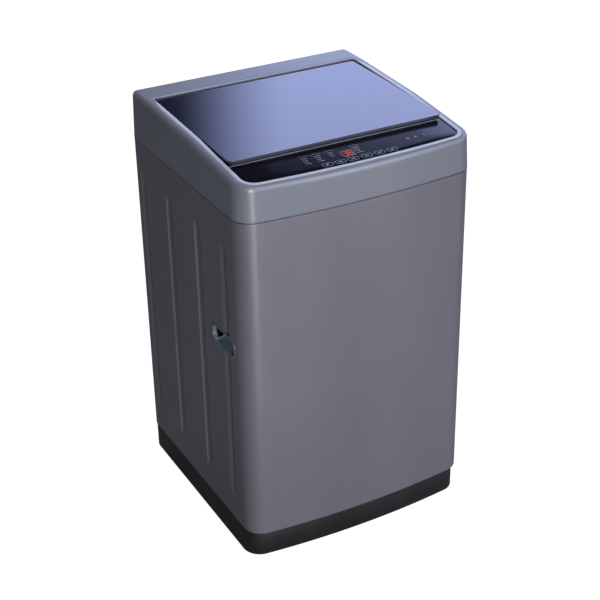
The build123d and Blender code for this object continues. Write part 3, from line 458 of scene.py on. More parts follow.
# ------------------------------------------------------------------ finishes
CABINET = finish_material("cabinet_paint", (0.128, 0.122, 0.150), (0.158, 0.151, 0.182),
                          rough=(0.40, 0.44), metallic=0.30, grain=1100, mottle=5, bump=0.06, dust=0.03)
BAND = finish_material("band_plastic", (0.138, 0.149, 0.178), (0.150, 0.161, 0.192),
                       rough=(0.34, 0.37), metallic=0.10, grain=1800, mottle=6, bump=0.01, specular=0.4)
BASE = finish_material("base_plastic", (0.006, 0.006, 0.006), (0.010, 0.010, 0.010),
                       rough=(0.42, 0.52), grain=1500, bump=0.12, dust=0.02, dust_high=0.03)
CONSOLE = finish_material("console_gloss", (0.004, 0.004, 0.006), (0.006, 0.006, 0.009),
                          rough=(0.07, 0.13), grain=300, bump=0.0, streak=6, specular=0.15)
GLASS = finish_material("lid_glass_dark", (0.006, 0.007, 0.014), (0.009, 0.010, 0.020),
                        rough=(0.05, 0.09), grain=200, bump=0.0, streak=4, ior=1.75)
LID_PLASTIC = finish_material("lid_plastic", (0.006, 0.006, 0.007), (0.010, 0.010, 0.011),
                              rough=(0.28, 0.4), grain=1800, bump=0.05)
GRIP = finish_material("grip_plastic", (0.085, 0.118, 0.150), (0.105, 0.142, 0.178),
                       rough=(0.34, 0.42), grain=1600, bump=0.05)
GALVANISED = finish_material("galvanised_steel", (0.34, 0.35, 0.36), (0.43, 0.44, 0.45),
                             rough=(0.36, 0.46), metallic=0.9, grain=260, mottle=90, bump=0.03, dust=0.05)
ROD_STEEL = finish_material("rod_steel", (0.42, 0.42, 0.43), (0.55, 0.55, 0.56),
                            rough=(0.22, 0.4), metallic=1.0, grain=1200, bump=0.04)
# Painted shade: a near-black finish put in the grip's deep finger pocket, standing for the shade inside it
POCKET_PAINTED_SHADE = finish_material("pocket_painted_shade", (0.0012, 0.0012, 0.0013), (0.002, 0.002, 0.0022),
                         rough=(0.7, 0.8), grain=1500, bump=0.05, specular=0.1)
RUBBER = finish_material("rubber", (0.012, 0.012, 0.012), (0.022, 0.021, 0.020),
                         rough=(0.6, 0.8), grain=1100, bump=0.2, dust=0.15)
WHITE = finish_material("white_plastic", (0.62, 0.63, 0.64), (0.72, 0.73, 0.73),
                        rough=(0.38, 0.5), grain=1300, bump=0.05, dust=0.06)
WASH_PLASTIC = finish_material("pulsator_plastic", (0.30, 0.33, 0.39), (0.36, 0.39, 0.46),
                               rough=(0.24, 0.36), metallic=0.25, grain=1500, bump=0.03)
DRUM_STEEL = finish_material("drum_steel", (0.52, 0.52, 0.53), (0.62, 0.62, 0.63),
                             rough=(0.16, 0.30), metallic=1.0, grain=700, bump=0.05)
ALUMINIUM = finish_material("cast_aluminium", (0.42, 0.43, 0.44), (0.56, 0.57, 0.58),
                            rough=(0.40, 0.6), metallic=0.95, grain=500, bump=0.35, bump_size=0.0004)
MOTOR_PAINT = finish_material("motor_paint", (0.020, 0.021, 0.024), (0.034, 0.035, 0.038),
                              rough=(0.35, 0.5), metallic=0.2, grain=800, bump=0.1, dust=0.1)
BLACK_PLASTIC = finish_material("black_plastic", (0.016, 0.016, 0.018), (0.028, 0.028, 0.030),
                                rough=(0.5, 0.65), grain=1200, bump=0.12)
BOARD = finish_material("circuit_board", (0.012, 0.075, 0.030), (0.020, 0.110, 0.045),
                        rough=(0.3, 0.45), grain=350, bump=0.25)
TRIM = finish_material("trim_metal", (0.16, 0.17, 0.19), (0.24, 0.25, 0.28),
                       rough=(0.3, 0.4), metallic=0.8, grain=2000, bump=0.01)
# Painted highlight: a far paler tone of the frame plastic, used on the rim's inner edge and the grip's bead
# where they catch the light
RIM_PAINTED_HIGHLIGHT = finish_material("rim_painted_highlight", (0.33, 0.36, 0.42), (0.37, 0.40, 0.47),
                      rough=(0.34, 0.40), grain=1800, mottle=6, bump=0.01, specular=0.4)
PRINT = finish_material("print_ink", (0.40, 0.42, 0.48), (0.52, 0.54, 0.60),
                        rough=(0.4, 0.5), grain=2500, bump=0.0)
DISPLAY = glowing_material("display_red", (0.90, 0.105, 0.018), 1.0)
STATUS = glowing_material("status_light", (0.75, 0.82, 1.0), 0.6)

NODE_FINISH = {
    "cabinet_paint": CABINET,
    "frame_plastic": BAND,
    "base_plastic": BASE,
    "grip_plastic": GRIP,
    "galvanised_steel": GALVANISED,
    "rod_steel": ROD_STEEL,
    "rubber": RUBBER,
    "console_gloss": CONSOLE,
    "display_red": BLACK_PLASTIC,
    "trim_metal": TRIM,
    "circuit_board": BOARD,
    "white_plastic": WHITE,
    "pulsator_plastic": WASH_PLASTIC,
    "lid_glass": GLASS,
    "lid_plastic": LID_PLASTIC,
    "basket_steel": DRUM_STEEL,
    "cast_aluminium": ALUMINIUM,
    "motor_paint": MOTOR_PAINT,
    "black_plastic": BLACK_PLASTIC,
}


def dress_cad_nodes():
    """Gives every carried-over node its finish and small rounded edges."""
    slots = {part["node"]: part["material_slot"] for part in frame["record"]["subparts"]}
    edge_width = {"lid_glass": 0.5, "lid_frame": 1.0, "base_plinth": 1.6, "detergent_drawer": 0.8}
    plain = {"rear_screws", "wash_basket"}
    for name, piece in nodes.items():
        material = NODE_FINISH[slots[name]]
        for index in range(max(1, len(piece.material_slots))):
            if index < len(piece.material_slots):
                piece.material_slots[index].material = material
            else:
                piece.data.materials.append(material)
        if name in plain or name.startswith("suspension_spring"):
            continue
        weld = piece.modifiers.new("weld", "WELD")
        weld.merge_threshold = 1e-5
        bevel = piece.modifiers.new("edges", "BEVEL")
        bevel.width = edge_width.get(name, 0.4) * MM
        bevel.segments = 2
        bevel.limit_method = "ANGLE"
        bevel.angle_limit = math.radians(40)


def orient_to(piece, way):
    """Turns an open skin over if most of its faces look away from a direction."""
    def change(shape):
        bmesh.ops.recalc_face_normals(shape, faces=shape.faces)
        if sum(face.normal.dot(Vector(way)) * face.calc_area() for face in shape.faces) < 0:
            bmesh.ops.reverse_faces(shape, faces=shape.faces)
    reshape(piece, change)


def put(piece, material, body, slot, *replaced):
    """Finishes a new piece: its material, the body it rides on and what it stands for."""
    piece.data.materials.clear()
    piece.data.materials.append(material)
    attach(piece, body)
    if replaced:
        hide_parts(*replaced)
    return piece


# ------------------------------------------------------------------ cabinet
def channel_depth(y, z):
    """How far the side sheet is pressed in: walls run over 5 mm, the ends over 22 mm."""
    wall = 0.005
    depth = np.zeros_like(y)
    for front, steep_rear in RIBS:
        rear_run = wall if steep_rear else 0.76 * RIB_WIDTH
        rear_edge = front + RIB_WIDTH + wall / 2
        into = rise((y - front + wall / 2) / wall) * rise((rear_edge - y) / rear_run)
        depth = np.maximum(depth, into)
    ends = rise((z - RIB_LOW) / 0.022) * rise((RIB_HIGH - z) / 0.022)
    return RIB_DEPTH * depth * ends


def side_stops():
    """Fractions along a side where the sheet needs a row: a spread, and both walls of each channel."""
    start = REAR - REAR_CORNER
    plan = outline(HALF, REAR, SIDE_FRONT, BOW, (REAR_CORNER, FRONT_CORNER), counts=(2, 2, 2, 2, 2))
    end = plan[6, 1]
    spread = np.linspace(start, end, 46, endpoint=False)
    offsets = np.array([
        -4, -3, -2.2, -1.5, -0.5, 0.5, 1.5, 2.5, 5, 9, 12.5,
        16, 19, 22.5, 23.5, 24.5, 25.5, 26.5, 27.5, 29,
    ]) * MM
    near = np.concatenate([front + offsets for front, _ in RIBS])
    stops = np.unique(np.round(np.concatenate([spread, near]), 5))
    stops = (start - stops) / (start - end)
    return np.sort(stops[(stops >= 0) & (stops < 1)])


def grip_outline(shrink, side, x):
    """Rounded outline of the hand grip moved in by shrink, at a place along X."""
    plan = rounded_rectangle(
        GRIP_SIZE[0] - 2 * shrink,
        GRIP_SIZE[1] - 2 * shrink,
        min(GRIP_SIZE[1] / 2 - 0.002, GRIP_SIZE[1] / 2 - shrink - 0.0004),
        steps=40,
    )
    return np.column_stack([np.full(len(plan), side * x), plan + GRIP_CENTRE])


def make_cabinet():
    """Bent steel sheet: the plan outline carried up, its sides pressed in along the channels."""
    edge = 0.6 * MM
    heights = np.concatenate([
        BASE_TOP + np.array([0, 0.4, 1.2]) * MM,
        np.linspace(BASE_TOP + 6 * MM, RIB_LOW - 2 * MM, 5),
        RIB_LOW + np.linspace(0, 22, 7) * MM,
        np.linspace(RIB_LOW + 0.03, RIB_HIGH - 0.03, 36),
        RIB_HIGH - np.linspace(22, 0, 7) * MM,
        np.linspace(RIB_HIGH + 4 * MM, SEAM - 6 * MM, 5),
        SEAM - np.array([1.9, 1.2, 0.9]) * MM,
    ])
    stops = side_stops()
    loops = []
    for z in heights:
        near_edge = min(z - BASE_TOP, SEAM - 0.9 * MM - z)
        inset = 0.0005 + edge * (1 - math.sqrt(1 - (1 - min(near_edge / edge, 1.0)) ** 2))
        plan = outline(
            HALF - inset, REAR - inset, SIDE_FRONT + inset, BOW,
            (REAR_CORNER - inset, FRONT_CORNER - inset), stops,
        )
        loop = at_height(plan, z)
        on_side = np.abs(np.abs(loop[:, 0]) - (HALF - inset)) < 1e-6
        pressed = channel_depth(loop[:, 1], np.full(len(loop), z))
        loop[:, 0] -= np.where(on_side, np.sign(loop[:, 0]) * pressed, 0)
        loops.append(loop)
    loops = np.array(loops)
    middle = (loops[:-1] + np.roll(loops[:-1], -1, axis=1)) / 2
    window = (middle[..., 1] > REAR - 2 * MM) & (np.abs(middle[..., 0]) < HALF - 0.030)
    piece = skin("cabinet_sheet", loops, keep=~window)
    with_modifiers(piece, ("SOLIDIFY", {"thickness": 0.8 * MM, "offset": -1.0}))
    for side in (-1, 1):
        cutter = prism("cutter", grip_outline(3 * MM, side, HALF - 0.02), (side * 0.04, 0, 0))
        with_modifiers(piece, ("BOOLEAN", {"operation": "DIFFERENCE", "object": cutter, "solver": "EXACT"}))
        bpy.data.objects.remove(cutter)
    piece.data.set_sharp_from_angle(angle=math.radians(38))
    put(piece, CABINET, "cabinet", "cabinet_paint", "cabinet_wrap")


def grip_past(y, z):
    """How far a place lies past the slanting line where the grip's finger pocket starts."""
    return 0.6 * (y - GRIP_CENTRE[0] - 0.0206) + 0.8 * (z - GRIP_CENTRE[1])


def grip_depth(y, z):
    """Depth of the hand grip under its lip.

    The front part is a scoop that deepens evenly towards the back and is round across. Past a
    slanting line the floor drops to a deep finger pocket, and a small bead stands on that line.
    """
    along = y - GRIP_CENTRE[0]
    up = z - GRIP_CENTRE[1]
    past = grip_past(y, z)
    across = np.sqrt(np.clip(1 - (up / (0.5 * GRIP_SIZE[1] - 0.001)) ** 2, 0.0, 1.0))
    scoop = (0.0030 + 0.0080 * rise((along + 0.056) / 0.085)) * (0.35 + 0.65 * across)
    scoop = scoop - 0.0020 * np.exp(-((past + 0.0006) / 0.0010) ** 2)
    return scoop + (0.0315 - scoop) * rise(past / 0.0014)


def make_grip(side, name, node):
    """Hand grip: a rounded lip, a short wall, the scoop, and the finger pocket behind it, painted near-black
    as shade; the bead on the pocket's edge is painted pale as a highlight.
    """
    lip = (
        (0.0, 0.0), (0.0002, 0.0008), (0.0008, GRIP_LIP),
        (0.0032, GRIP_LIP), (0.0038, 0.0009), (0.0041, 0.0),
    )
    loops = [grip_outline(shrink, side, HALF + proud) for shrink, proud in lip]
    rim = loops[-1]
    centre = np.array([side * HALF, GRIP_CENTRE[0], GRIP_CENTRE[1]])
    for step in np.concatenate([[0.0, 0.015, 0.03, 0.05], np.linspace(0.07, 0.985, 62)]):
        spot = rim + (centre - rim) * step
        wall = 0.25 + 0.75 * rise(step / 0.06)
        spot[:, 0] = side * (HALF - wall * grip_depth(spot[:, 1], spot[:, 2]))
        loops.append(spot)
    loops = np.array(loops)
    depth = HALF - np.abs(loops[..., 0])
    past = grip_past(loops[..., 1], loops[..., 2])
    inside = depth > 0.0022
    dark = inside & (past > 0.0002)
    bead = inside & (past > -0.0016) & ~dark
    for suffix, keep, material, slot, stands_for in (
        ("", ~dark & ~bead, GRIP, "grip_plastic", (node,)),
        # painted highlight: the bead takes the pale rim finish for the light it catches
        ("_bead", bead, RIM_PAINTED_HIGHLIGHT, "grip_plastic", ()),
        # painted shade: the finger pocket past the slanting line takes the near-black finish
        ("_pocket", dark, POCKET_PAINTED_SHADE, "black_plastic", ()),
    ):
        piece = skin(name + suffix, loops, keep=keep)
        orient_to(piece, (side, 0, 0))
        put(piece, material, "cabinet", slot, *stands_for)


# ------------------------------------------------------------------ top frame
def band_outline(inset, **options):
    """Plan of the outer band moved in by inset."""
    corners = (max(REAR_CORNER - inset, 0.004), FRONT_CORNER - inset)
    return outline(HALF - inset, REAR - inset, SIDE_FRONT + inset, BOW, corners, **options)


def well_outline(inset):
    """Plan of the well for the lid and the console moved in by inset."""
    corners = (WELL_CORNERS[0] - inset, WELL_CORNERS[1] - inset)
    return outline(WELL_SIDE - inset, WELL_REAR - inset, WELL_FRONT + inset, WELL_BOW, corners)


def neck_outline(outset):
    """Plan of the loading mouth: a rounded rectangle taken at the outline's own directions."""
    plan = outline(
        NECK_SIDE + outset, NECK_Y[1] + outset, NECK_Y[0] - outset, 0.0004,
        (NECK_CORNER + outset, NECK_CORNER + outset),
    )
    return plan


def make_top_frame():
    """Moulded frame: one skin from the seam up the band, over the rim, into the well and down the neck."""
    loops = []
    start = SEAM + 1.4 * MM
    seam_steps = ((4.2, -10.0), (4.2, 0.2), (3.9, 0.5), (1.2, 0.5), (0.5, 0.7), (0.1, 1.0))
    for inset, rise_mm in seam_steps:
        loops.append(at_height(band_outline(inset * MM), SEAM + rise_mm * MM))
    for part in np.linspace(0, 1, 14):
        foot = band_outline(0)
        top = rim_height(foot[:, 1]) - CROWN
        z = start + (top - start) * part
        lean = math.tan(BAND_TAPER) * (z - SEAM)
        plan = band_outline(float(lean.mean()))
        loops.append(at_height(plan, z))
    lean = math.tan(BAND_TAPER) * (TOP - CROWN - SEAM)
    for turn in np.linspace(0, math.pi / 2, 9)[1:]:
        plan = band_outline(0.0042 + CROWN * (1 - math.cos(turn)))
        loops.append(at_height(plan, rim_height(plan[:, 1]) - CROWN + CROWN * math.sin(turn)))
    crown_plan = plan
    rim_plan = well_outline(-RIM_ROUND)
    for part in np.linspace(0, 1, 8)[1:-1]:
        plan = crown_plan + (rim_plan - crown_plan) * part
        loops.append(at_height(plan, rim_height(plan[:, 1])))
    for turn in np.linspace(0, math.pi / 2, 6):
        plan = well_outline(-RIM_ROUND * (1 - math.sin(turn)))
        loops.append(at_height(plan, rim_height(plan[:, 1]) - RIM_ROUND * (1 - math.cos(turn))))
    wall_plan = well_outline(0)
    wall_top = rim_height(wall_plan[:, 1]) - RIM_ROUND
    for part in (0.35, 0.7, 1.0):
        loops.append(at_height(wall_plan, wall_top + (WELL_FLOOR + 2 * MM - wall_top) * part))
    floor_plan = well_outline(2 * MM)
    loops.append(at_height(well_outline(0.6 * MM), WELL_FLOOR + 0.6 * MM))
    loops.append(at_height(floor_plan, WELL_FLOOR))
    lip_plan = neck_outline(5 * MM)
    for part in (0.3, 0.65, 1.0):
        loops.append(at_height(floor_plan + (lip_plan - floor_plan) * part, WELL_FLOOR))
    for turn in np.linspace(0, math.pi / 2, 6)[1:]:
        plan = neck_outline(5 * MM * (1 - math.sin(turn)))
        loops.append(at_height(plan, WELL_FLOOR - 5 * MM * (1 - math.cos(turn))))
    for z in np.linspace(WELL_FLOOR - 10 * MM, NECK_LOW, 8):
        loops.append(at_height(neck_outline(0), z))
    piece = skin("top_frame_shell", loops)
    with_modifiers(piece, ("SOLIDIFY", {"thickness": 2.4 * MM, "offset": -1.0}))
    turn_outwards(piece)
    drawer_low, drawer_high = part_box("detergent_drawer")
    drawer, middle = drawer_high - drawer_low, (drawer_low + drawer_high) / 2
    window = rounded_rectangle(drawer.x + 3 * MM, drawer.z + 3 * MM, 2 * MM, 4) + (middle.x, middle.z)
    window = np.column_stack([window[:, 0], np.full(len(window), 0.168), window[:, 1]])
    pocket = rounded_rectangle(*INLET_SIZE, 3 * MM, 5) + INLET_CENTRE
    pocket = np.column_stack([pocket[:, 0], np.full(len(pocket), 0.255), pocket[:, 1]])
    for cut, lift in ((window, 0.022), (pocket, 0.05)):
        cutter = prism("cutter", cut, (0, lift, 0))
        with_modifiers(piece, ("BOOLEAN", {"operation": "DIFFERENCE", "object": cutter, "solver": "EXACT"}))
        bpy.data.objects.remove(cutter)
    piece.data.set_sharp_from_angle(angle=math.radians(38))
    put(piece, BAND, "cabinet", "frame_plastic", "top_frame")


def make_rim_highlight_strip():
    """Painted highlight: a strip of much paler plastic along the rim's inner edge where it catches the
    light, 7 mm wide, rolling over the edge, fading out at the back.
    """
    thin, wide = well_outline(-RIM_ROUND), well_outline(-RIM_ROUND - 7 * MM)
    share = rise((0.188 - thin[:, 1]) / 0.05)[:, None]
    outer = thin + (wide - thin) * (0.1 + 0.9 * share)
    lift = 0.25 * MM * share[:, 0] - 0.06 * MM
    loops = [at_height(outer, rim_height(outer[:, 1]) - 0.3 * MM)]
    for part in (0.04, 0.35, 0.7, 1.0):
        plan = outer + (thin - outer) * part
        loops.append(at_height(plan, rim_height(plan[:, 1]) + lift))
    for turn in np.linspace(0, 1.25, 5)[1:]:
        plan = well_outline(-RIM_ROUND * (1 - math.sin(turn)) + 0.15 * MM * math.sin(turn))
        loops.append(at_height(plan, rim_height(plan[:, 1]) - RIM_ROUND * (1 - math.cos(turn)) + lift))
    piece = skin("rim_highlight_strip", loops)
    orient_to(piece, (0, 0, 1))
    put(piece, RIM_PAINTED_HIGHLIGHT, "cabinet", "frame_plastic")


def make_inlet_pocket():
    """Cup behind the inlet's opening: rounded walls that run in to a flat floor with a round hole."""
    floor_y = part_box("inlet_valve")[1].y - 0.018
    mouth_y = REAR - 3.6 * MM
    loops = []
    for grow, y in ((0.6 * MM, mouth_y), (0.0, mouth_y - 0.002), (0.0, floor_y + 0.003), (-3 * MM, floor_y)):
        width, height = (size + 2 * grow for size in INLET_SIZE)
        plan = rounded_rectangle(width, height, 3.2 * MM + max(grow, 0), 8) + INLET_CENTRE
        loops.append(np.column_stack([plan[:, 0], np.full(len(plan), y), plan[:, 1]]))
    inner = loops[-1]
    middle = np.array([INLET_CENTRE[0], floor_y, INLET_CENTRE[1]])
    away = inner - middle
    hole = middle + away / np.linalg.norm(away, axis=1)[:, None] * 0.0152
    loops += [inner + (hole - inner) * 0.5, hole]
    piece = skin("inlet_pocket", loops)
    with_modifiers(piece, ("SOLIDIFY", {"thickness": 1.6 * MM, "offset": 1.0}))
    turn_outwards(piece)
    put(piece, BAND, "cabinet", "frame_plastic")


# ------------------------------------------------------------------ console
def make_console():
    """Glossy sloping slab: the well's own front outline, with its top edge rounded over."""
    gap = 0.0004
    edge = 1.0 * MM
    loops = []

    def plan_at(inset):
        return outline(
            WELL_SIDE - gap - inset, CONSOLE_REAR - inset * 0.3, WELL_FRONT + gap + inset, WELL_BOW,
            (1.2 * MM, WELL_CORNERS[1] - gap - inset),
        )

    loops.append(at_height(plan_at(0), WELL_FLOOR))
    for turn in np.linspace(0, math.pi / 2, 6):
        plan = plan_at(edge * (1 - math.cos(turn)))
        loops.append(at_height(plan, console_height(plan[:, 1]) - edge * (1 - math.sin(turn))))
    face = plan
    middle = np.array([0.0, (CONSOLE_REAR + WELL_FRONT) / 2])
    for part in (0.3, 0.6, 0.85, 0.999):
        spread = middle + (face - middle) * (1 - part)
        loops.append(at_height(spread, console_height(spread[:, 1])))
    piece = skin("console_slab", loops)
    turn_outwards(piece)
    put(piece, CONSOLE, "cabinet", "console_gloss", "control_panel")


def on_console(plan):
    """Puts plan points on the console's face."""
    plan = np.asarray(plan, float)
    return at_height(plan, console_height(plan[:, 1]) + PRINT_LIFT)


def ribbon(plan, width, closed=True):
    """Points and quads of a flat line of a given width along plan points."""
    plan = np.asarray(plan, float)
    after = np.roll(plan, -1, axis=0) if closed else np.vstack([plan[1:], 2 * plan[-1] - plan[-2]])
    before = np.roll(plan, 1, axis=0) if closed else np.vstack([2 * plan[0] - plan[1], plan[:-1]])
    along = after - before
    along /= np.linalg.norm(along, axis=1)[:, None]
    normal = np.stack([-along[:, 1], along[:, 0]], -1) * width / 2
    return np.stack([plan - normal, plan + normal])


def print_piece(name, shapes, material, slot):
    """One piece of flat print: lines as ribbons and filled outlines, all on the console's face."""
    points = []
    faces = []
    base = 0
    for kind, data in shapes:
        if kind == "fill":
            count = len(data)
            points.append(on_console(data))
            faces.append([base + i for i in range(count)])
            base += count
        else:
            closed = kind == "loop"
            rows = np.stack([on_console(data[0]), on_console(data[1])])
            count = rows.shape[1]
            points.append(rows.reshape(-1, 3))
            faces += [[base + i for i in quad] for quad in grid_faces(2, count, wrap=closed)]
            base += 2 * count
    piece = mesh_object(name, np.concatenate(points), faces)

    def face_up(shape):
        for face in shape.faces:
            if face.normal.z < 0:
                face.normal_flip()

    reshape(piece, face_up)
    put(piece, material, "cabinet", slot)


def make_console_print():
    """Key frames, level marks and lines in grey ink, a pale ink line along the rear edge that is a painted
    highlight of the trim there, and small status lights.
    """
    key_y = -0.2330
    key_x = (-0.065, -0.036, -0.007, 0.024, 0.054, 0.083)
    lines = []
    for x in key_x:
        frame_line = rounded_rectangle(0.0225, 0.0125, 0.0042, 6) + (x, key_y)
        lines.append(("loop", ribbon(frame_line, 0.0005)))
    for x in key_x[1:]:
        dash = rounded_rectangle(0.0090, 0.0013, 0.0004, 3) + (x, key_y)
        lines.append(("fill", dash))
    turn = np.linspace(-0.8, 4.2, 22)
    ring = np.stack([np.cos(turn), np.sin(turn)], -1) * 0.0028 + (key_x[0], key_y)
    lines.append(("line", ribbon(ring, 0.0006, closed=False)))
    triangle = np.array([(-0.0011, -0.0014), (0.0016, 0.0), (-0.0011, 0.0014)]) + (key_x[0], key_y)
    lines.append(("fill", triangle))
    columns = ((-0.094, 4, 0.009), (-0.066, 4, 0.011), (-0.0345, 3, 0.006), (0.020, 4, 0.014))
    dots = []
    for x, count, length in columns:
        for row in range(count):
            y = -0.1935 - 0.0072 * row
            bar_length = length * (0.85 - 0.16 * (row % 3))
            bar = rounded_rectangle(bar_length, 0.0010, 0.0003, 3) + (x + bar_length / 2 - 0.004, y)
            lines.append(("fill", bar))
            dots.append(("fill", rounded_rectangle(0.0016, 0.0016, 0.0007, 4) + (x - 0.0072, y)))
        sweep = np.linspace(-0.5, 0.5, 14)
        arch = np.stack([x + 0.024 * sweep, -0.1868 + 0.0022 * (1 - 4 * sweep**2)], -1)
        lines.append(("line", ribbon(arch, 0.0004, closed=False)))
    for x in (0.135, 0.154, 0.174):
        turn = np.linspace(0, 2 * math.pi, 20, endpoint=False)
        circle = np.stack([np.cos(turn), np.sin(turn)], -1) * 0.0026 + (x, -0.2066)
        lines.append(("loop", ribbon(circle, 0.0006)))
        lines.append(("fill", rounded_rectangle(0.0014, 0.0014, 0.0005, 3) + (x, -0.2066)))
    display = rounded_rectangle(0.026, 0.0225, 0.003, 6) + (-0.006, DISPLAY_Y)
    lines.append(("loop", ribbon(display, 0.0005)))
    # Painted highlight: a pale ink line along the console's rear edge standing for the light caught by the
    # trim
    edge_highlight_line = np.array([(x, CONSOLE_REAR - 0.0012) for x in np.linspace(-0.241, 0.241, 25)])
    lines.append(("line", ribbon(edge_highlight_line, 0.0012, closed=False)))
    print_piece("console_marks", lines, PRINT, "white_plastic")
    print_piece("status_lights", dots, STATUS, "white_plastic")


def make_digits():
    """Two seven-bar digits, each bar a six-sided outline."""
    lit = {0: "abcdef", 3: "abgcd", 8: "abcdefg"}
    height, width, thick = 0.0168, 0.0066, 0.0011
    bars = {
        "a": (0, height / 2, True), "g": (0, 0, True), "d": (0, -height / 2, True),
        "f": (-width / 2, height / 4, False), "b": (width / 2, height / 4, False),
        "e": (-width / 2, -height / 4, False), "c": (width / 2, -height / 4, False),
    }
    shapes = []
    for centre_x, digit in ((-0.0114, 3), (-0.0008, 8)):
        for bar in lit[digit]:
            x, y, level = bars[bar]
            half = (width if level else height / 2) / 2 - 0.0004
            tip = thick / 2
            outline_points = np.array([(-half, 0), (-half + tip, -tip), (half - tip, -tip),
                                       (half, 0), (half - tip, tip), (-half + tip, tip)])
            if not level:
                outline_points = outline_points[:, ::-1] * (-1, 1)
            shapes.append(("fill", outline_points + (centre_x + x, DISPLAY_Y + y)))
    print_piece("display_digits", shapes, DISPLAY, "display_red")


# ------------------------------------------------------------------ lid
def make_lid_line():
    """Bead along the front of the lid: a small half round carried across."""
    glass_low, glass_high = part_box("lid_glass")
    half = glass_high.x - 6 * MM
    turn = np.linspace(-math.pi / 2, math.pi / 2, 7)
    x = np.linspace(-half, half, 40)
    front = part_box("lid_frame")[0].y + 0.2 * MM
    z = glass_low.z - 3.2 * MM
    loops = np.stack([
        np.stack([np.full(7, value), front - 0.9 * MM * np.cos(turn), z + 0.9 * MM * np.sin(turn)], -1)
        for value in x
    ])
    piece = skin("lid_line", loops, wrap=True)
    turn_outwards(piece)
    put(piece, BLACK_PLASTIC, "lid", "lid_plastic")


# ------------------------------------------------------------------ basket and pulsator
def make_drum():
    """Perforated wall: a grid of square cells, each with an eight-sided hole, bent round a circle."""
    low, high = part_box("wash_basket")
    radius = high.x - 0.3 * MM
    around, up = 96, 34
    cell_angle = 2 * math.pi / around
    bottom, top = low.z + 0.012, high.z - 0.004
    cell_height = (top - bottom) / up
    turn = (np.arange(8) + 0.5) * math.pi / 4
    hole = np.stack([np.cos(turn), np.sin(turn)], -1)
    square = hole / np.abs(hole).max(axis=1)[:, None]
    rim = np.where(np.abs(square) > 0.99, np.sign(square) * 0.5, square * 0.5)
    column, row = np.meshgrid(np.arange(around), np.arange(up), indexing="ij")
    column, row = column.ravel(), row.ravel()
    drilled = ((column % 8) < 6)
    size = np.where(drilled, 0.20, 0.0001)
    outer = np.broadcast_to(rim, (len(column), 8, 2))
    inner = hole[None] * size[:, None, None]
    cells = np.concatenate([outer, inner], axis=1)
    angle = (column[:, None] + 0.5 + cells[..., 0]) * cell_angle
    z = bottom + (row[:, None] + 0.5 + cells[..., 1]) * cell_height
    bulge = 1.2 * MM * np.cos(angle * around / 8) ** 2
    r = radius - 1.4 * MM + bulge
    points = np.stack([r * np.cos(angle), r * np.sin(angle), z], -1).reshape(-1, 3)
    index = np.arange(8)
    after = (index + 1) % 8
    quads = np.stack([index, after, after + 8, index + 8], -1)
    faces = (quads[None] + (np.arange(len(column)) * 16)[:, None, None]).reshape(-1, 4)
    piece = mesh_object("drum_wall", points, faces.tolist())
    turn_outwards(piece, merge=2e-5)
    piece.data.shade_smooth()
    put(piece, DRUM_STEEL, "basket", "basket_steel", "wash_basket")


def make_pulsator():
    """Wash disc: a shallow dish with six swept ribs and a domed hub, as a height over a polar grid."""
    low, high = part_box("pulsator")
    radius = high.x - 0.4 * MM
    r = np.concatenate([np.linspace(0.009, 0.9, 60), np.linspace(0.91, 1.0, 8)]) * radius
    angle = np.linspace(0, 2 * math.pi, 360, endpoint=False)
    rr, aa = np.meshgrid(r, angle, indexing="ij")
    base = low.z + 0.0075 + 0.006 * rise((rr / radius - 0.55) / 0.45)
    hub = 0.012 * rise((0.040 - rr) / 0.030)
    sweep = aa + 1.1 * (rr / radius) ** 1.5
    ridge = np.clip(np.cos(6 * sweep), 0, 1) ** 3
    reach = rise((rr - 0.018) / 0.02) * rise((radius * 0.93 - rr) / 0.03)
    z = base + hub + 0.0165 * ridge * reach
    edge = rise((radius - rr) / 0.004)
    z = low.z + 0.006 + (z - low.z - 0.006) * (0.25 + 0.75 * edge)
    top = np.stack([rr * np.cos(aa), rr * np.sin(aa), z], -1)
    under = top[::-1].copy()
    under[..., 2] = low.z + 0.0005
    piece = skin("pulsator_disc", np.concatenate([top, under]), close_rows=True)
    turn_outwards(piece)
    put(piece, WASH_PLASTIC, "pulsator", "pulsator_plastic", "pulsator")


# ------------------------------------------------------------------ suspension springs
def make_spring(place):
    """Helical spring: a round wire whose centre climbs a helix, flatter over its first and last turn.

    It stands on the rod's foot.
    """
    node = f"suspension_spring_{place}"
    low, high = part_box(node)
    wire = SPRING_WIRE / 2
    radius = (high.x - low.x) / 2 - wire
    climb = np.linspace(0, 1, 40 * SPRING_TURNS)
    angle = 2 * math.pi * SPRING_TURNS * climb
    eased = climb - np.sin(2 * math.pi * climb) / (2 * math.pi) * 0.55
    z = low.z + wire + (high.z - low.z - 2 * wire) * eased
    turn = np.linspace(0, 2 * math.pi, 10, endpoint=False)
    reach = radius + wire * np.cos(turn)[None]
    loops = np.stack([
        (low.x + high.x) / 2 + reach * np.cos(angle)[:, None],
        (low.y + high.y) / 2 + reach * np.sin(angle)[:, None],
        z[:, None] + wire * np.sin(turn)[None],
    ], -1)
    count = loops.shape[0] * 10
    faces = grid_faces(loops.shape[0], 10) + [list(range(10))[::-1], list(range(count - 10, count))]
    piece = turn_outwards(mesh_object("coil_" + place, loops, faces))
    put(piece, ROD_STEEL, "cabinet", "rod_steel", node)
    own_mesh(piece)


